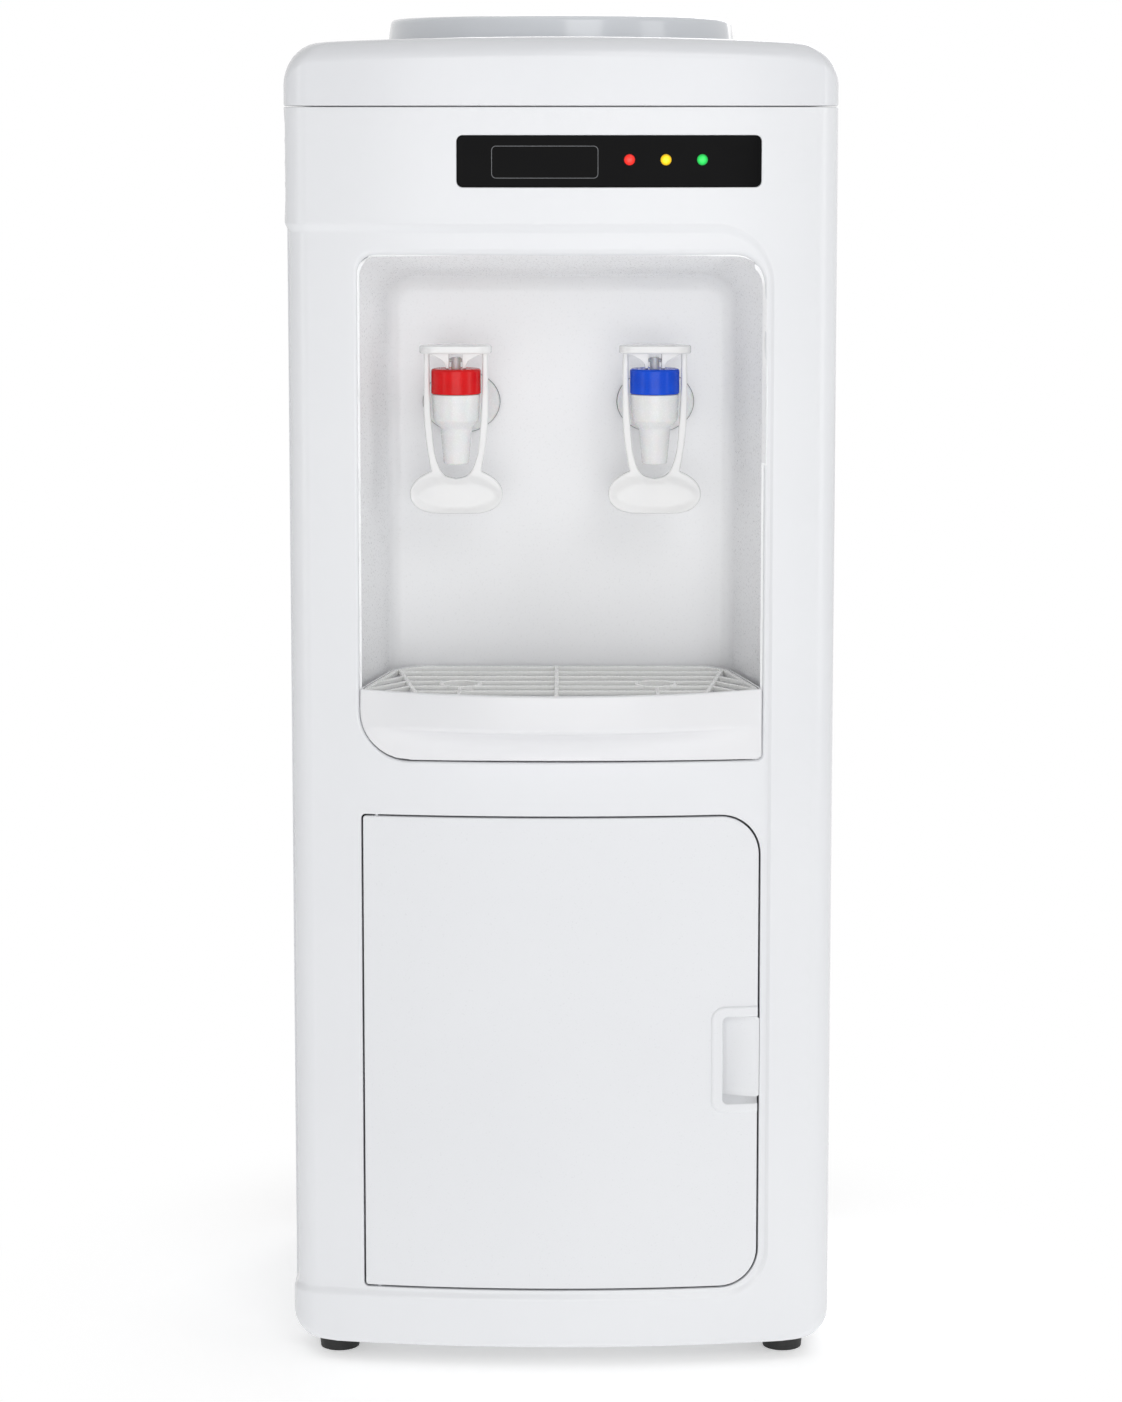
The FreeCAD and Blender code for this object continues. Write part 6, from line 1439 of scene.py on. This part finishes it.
well = [well_row(WELL + WELL_ROUND)]
well += [well_row(WELL + inset, drop=rise) for inset, rise in quarter(WELL_ROUND, (30, 60, 90))]
well += [well_row(WELL, SEAT_LEDGE + 0.001), well_row(WELL - 0.001, SEAT_LEDGE),
         well_row(SEAT_RADIUS - 0.0108, SEAT_LEDGE)]
well += [well_row(SEAT_RADIUS - 0.012, SEAT_LEDGE - drop) for drop in (0.001, 0.004)]
bridge(well, faces)
outline = flat_line(places, rows[-1], "y")
spare = grid(places, outline, [0.0115 * k for k in range(-15, 16)],
             [-0.150 + 0.0115 * k for k in range(26)], 0.004,
             lambda a, b: (a, b, crown(a, b)), [((0, SEAT_Y), WELL + 0.006)])
faces += cap_flat(outline, [flat_line(places, well[0], "y")], spare)
# Painted shade: the lid is the cabinet's white ABS, but its white is set darker to darken the
# whole lid as it is lit.
cover_white = surface("cover_white", (0.765, 0.775, 0.80), (0.745, 0.755, 0.78), 0.25,
                      (0.18, 0.25), 0.0016, (0.05, 0.0004))
place_piece("top_lid", solid_mesh(places, faces, 0.0025), cover_white, "cover_white", "cabinet",
            "top_cover")

# ---------------------------------------------------------------- bottle seat
# The lift-out collar is turned-looking, moulded in a cool grey-white ABS: a rim that stands
# above the lid, a bowl that guides the bottle and a neck that pierces its cap.

collar_grey = surface("collar_grey", (0.74, 0.765, 0.80), (0.72, 0.745, 0.78), 0.12,
                      (0.12, 0.18), 0.0012, (0.04, 0.0003), Coat_Weight=0.3, Coat_Roughness=0.08)
collar = softened([
    (0.031, 0.797, 0), (0.0338, 0.797, 0.0008), (0.034, 0.825, 0.003), (0.103, 0.8543, 0.003),
    (0.105, 0.8583, 0.0005), (0.1180, 0.8583, 0.0006), (0.1180, 0.8800, 0.004),
    (0.1163, 0.8935, 0.0038), (0.108, 0.8935, 0.0030), (0.1045, 0.8890, 0.004),
    (0.1000, 0.864, 0.010),
    (0.037, 0.831, 0.006), (0.0312, 0.824, 0.004), (0.031, 0.797, 0)], 6)
place_piece("bottle_collar", turned(collar[:-1], (0, SEAT_Y, 0), "z", 128, 40, True),
            collar_grey, "collar_grey", "collar", "bottle_seat")

# ---------------------------------------------------------------- rear
# The grey steel back carries the heating and cooling switches, the thermostat's knob, the
# drain's screw cap, the bush for the mains lead and six pressed louvres.

painted_rear = surface("painted_rear", (0.36, 0.37, 0.38), (0.32, 0.33, 0.34), 0.16, (0.42, 0.55),
                       0.0012, (0.16, 0.0004))
black_plastic = surface("black_plastic", (0.022, 0.022, 0.024), (0.014, 0.014, 0.015), 0.012,
                        (0.38, 0.50), 0.0005, (0.20, 0.0002))
switch_red = surface("switch_red", (0.55, 0.016, 0.012), (0.46, 0.010, 0.008), 0.006, (0.20, 0.28),
                     0.0006, (0.05, 0.0001))
switch_green = surface("switch_green", (0.010, 0.34, 0.075), (0.007, 0.28, 0.060), 0.006,
                       (0.20, 0.28), 0.0006, (0.05, 0.0001))
finish_nodes(painted_rear, "back_panel")
finish_nodes(black_plastic, "switch_frames", "thermostat", "thermostat_knob", "cord_gland",
             "drain_cap", "hot_tank_cutouts")
finish_nodes(switch_red, "hot_switch")
finish_nodes(switch_green, "cold_switch")
finish_nodes(zinc_steel, "panel_screws")

# ---------------------------------------------------------------- condenser
# A steel tube runs to and fro behind the back panel, with fine upright wires spot-welded across
# it on both faces. All of it is dipped in black paint.

painted_black = surface("painted_black", (0.022, 0.022, 0.023), (0.013, 0.013, 0.014), 0.03,
                        (0.30, 0.45), 0.0008, (0.12, 0.0003))
finish_nodes(painted_black, "condenser_coil", "condenser_wires", "compressor")

# ---------------------------------------------------------------- base pan and feet
# A folded steel tray closes the bottom between the sides and carries the compressor. It stands
# on four turned rubber feet, pushed into its corners.

PAN_BASE, PAN_TOP, PAN_BEND = 0.0130, 0.0312, 0.0025
line, away = rounded(-0.1612, -0.1405, 0.1612, 0.1484, (0.010,) * 4, 0.030, 4)
places, faces = [], []
levels = [(inset, PAN_BASE + rise) for inset, rise in quarter(PAN_BEND, (0, 30, 60, 90))]
rows = [add_row(places, [(x - ax * inset, y - ay * inset, z)
                         for (x, y), (ax, ay) in zip(line, away)])
        for inset, z in levels + [(0.0, PAN_TOP)]]
bridge(rows, faces)
faces += [face[::-1] for face in cap_flat(flat_line(places, rows[0], "y"))]
place_piece("base_tray", solid_mesh(places, faces, 0.0015), painted_rear, "painted_rear",
            "cabinet", "base_pan")

# ---------------------------------------------------------------- inside
# Brushed steel tanks, one in foam with copper wound on it and one with a band heater, stand on
# zinced brackets over the compressor. Rubber, clear tube and copper pipe join them.

stainless = surface("stainless", (0.66, 0.66, 0.67), (0.56, 0.56, 0.57), 0.020, (0.20, 0.34),
                    0.0007, (0.12, 0.0002), 1.0, (0.15, 0.15, 6.0))
copper = surface("copper", (0.72, 0.33, 0.17), (0.52, 0.22, 0.11), 0.014, (0.24, 0.40), 0.0006,
                 (0.10, 0.0002), 1.0)
foam = surface("foam", (0.84, 0.84, 0.82), (0.74, 0.74, 0.71), 0.004, (0.75, 0.9), 0.0018,
               (0.5, 0.0012))
rubber_black = surface("rubber_black", (0.020, 0.020, 0.020), (0.012, 0.012, 0.012), 0.008,
                       (0.55, 0.72), 0.0005, (0.25, 0.0002))
clear_tube = surface("clear_tube", (0.72, 0.72, 0.69), (0.64, 0.64, 0.61), 0.020, (0.25, 0.35),
                     0.0008, (0.05, 0.0002), Transmission_Weight=0.35, IOR=1.41)
spring_steel = surface("spring_steel", (0.50, 0.50, 0.51), (0.42, 0.42, 0.43), 0.003,
                       (0.22, 0.34), 0.0004, (0.08, 0.0001), 1.0)
board_green = surface("board_green", (0.020, 0.16, 0.060), (0.012, 0.11, 0.042), 0.010,
                      (0.30, 0.42), 0.0006, (0.15, 0.0001))
finish_nodes(stainless, "hot_tank", "cold_tank", "band_heater")
finish_nodes(copper, "evaporator_coil", "refrigerant_tubes")
finish_nodes(foam, "cold_tank_foam")
finish_nodes(rubber_black, "feet", "compressor_grommets")
finish_nodes(clear_tube, "water_hoses", "drain_pipe", "hot_tap_plug", "cold_tap_plug")
finish_nodes(spring_steel, "tap_springs")
finish_nodes(board_green, "indicator_board")
finish_nodes(zinc_steel, "tank_shelf", "tank_bracket", "hot_tank_stand")

# ---------------------------------------------------------------- studio
# The cooler stands on a pale floor in soft light from above and both sides.
# Camera, glossy and transmission rays see the surroundings as plain white.

CAMERA_PLACE = (0.0, -2.485, 0.829)
CAMERA_TILT = math.radians(7.06)
CAMERA_LENS = 92.44
CAMERA_SHIFT = -0.10
FLOOR_HALF, FLOOR_FRONT, FLOOR_REAR = 6, -3.5, 8.5
lens = bpy.data.cameras.new("camera")
lens.lens = CAMERA_LENS
lens.shift_y = CAMERA_SHIFT
camera = bpy.data.objects.new("camera", lens)
camera.location = CAMERA_PLACE
camera.rotation_euler = (math.radians(90) - CAMERA_TILT, 0, 0)
bpy.context.scene.collection.objects.link(camera)
bpy.context.scene.camera = camera


def soft_lamp(name, place, target, width, height, power, colour=(1, 1, 1)):
    """A rectangular soft box that faces a point."""
    data = bpy.data.lights.new(name, "AREA")
    data.shape = "RECTANGLE"
    data.size, data.size_y = width, height
    data.energy = power
    data.color = colour
    lamp = bpy.data.objects.new(name, data)
    lamp.location = place
    lamp.rotation_euler = (Vector(target) - Vector(place)).to_track_quat("-Z", "Y").to_euler()
    bpy.context.scene.collection.objects.link(lamp)


soft_lamp("key_box", (0.7, -2.6, 1.9), (0, -0.1, 0.5), 1.2, 1.2, 11)
soft_lamp("front_box", (0.1, -3.4, 0.45), (0, 0, 0.5), 2.4, 1.4, 26)
soft_lamp("left_box", (-2.4, -1.6, 0.6), (0, 0, 0.4), 0.8, 1.6, 5.2)
soft_lamp("right_box", (2.4, -1.2, 0.8), (0, 0, 0.5), 0.8, 1.8, 7.6)
soft_lamp("top_box", (0, 0.2, 3.0), (0, 0, 0), 2.4, 2.4, 8)
soft_lamp("rear_box", (0.6, 2.6, 1.8), (0, 0, 0.5), 1.6, 1.6, 16)

floor_mesh = bpy.data.meshes.new("floor")
floor_mesh.from_pydata([(-FLOOR_HALF, FLOOR_FRONT, 0), (FLOOR_HALF, FLOOR_FRONT, 0),
                        (FLOOR_HALF, FLOOR_REAR, 0), (-FLOOR_HALF, FLOOR_REAR, 0)], [],
                       [(0, 1, 2, 3)])
floor = bpy.data.objects.new("floor", floor_mesh)
bpy.context.scene.collection.objects.link(floor)
white = (1, 1, 1, 1)
pale, tree = new_material("floor_pale")
spread = add_node(tree, "TexCoord").outputs["Object"]
distance = add_node(tree, "VectorMath", operation="LENGTH", _0=spread).outputs["Value"]
far_off = add_node(tree, "MapRange", Value=distance, From_Min=0.19, From_Max=0.42, To_Min=0.0,
                   To_Max=1.0, interpolation_type="SMOOTHSTEP")
seen = add_node(tree, "LightPath").outputs["Is Camera Ray"]
seen_far = add_node(tree, "Math", operation="MULTIPLY", _0=far_off, _1=seen)
matt = add_node(tree, "BsdfDiffuse", Color=(0.90, 0.90, 0.90, 1))
lift = add_node(tree, "Emission", Color=white, Strength=0.40)
plain = add_node(tree, "Emission", Color=white, Strength=1.0)
both = add_node(tree, "AddShader", _0=matt, _1=lift)
add_node(tree, "OutputMaterial",
         Surface=add_node(tree, "MixShader", _0=seen_far, _1=both, _2=plain))
floor_mesh.materials.append(pale)

world = bpy.data.worlds.new("world")
world.use_nodes = True
bpy.context.scene.world = world
tree = world.node_tree
tree.nodes.clear()
rays = add_node(tree, "LightPath").outputs
seen = add_node(tree, "Math", operation="MAXIMUM", _0=rays["Is Camera Ray"],
                _1=rays["Is Glossy Ray"])
seen = add_node(tree, "Math", operation="MAXIMUM", _0=seen, _1=rays["Is Transmission Ray"])
fill_light = add_node(tree, "Background", Color=white, Strength=0.385)
backdrop = add_node(tree, "Background", Color=white, Strength=1.0)
add_node(tree, "OutputWorld",
         Surface=add_node(tree, "MixShader", _0=seen, _1=fill_light, _2=backdrop))
bpy.context.scene.view_settings.view_transform = "Standard"
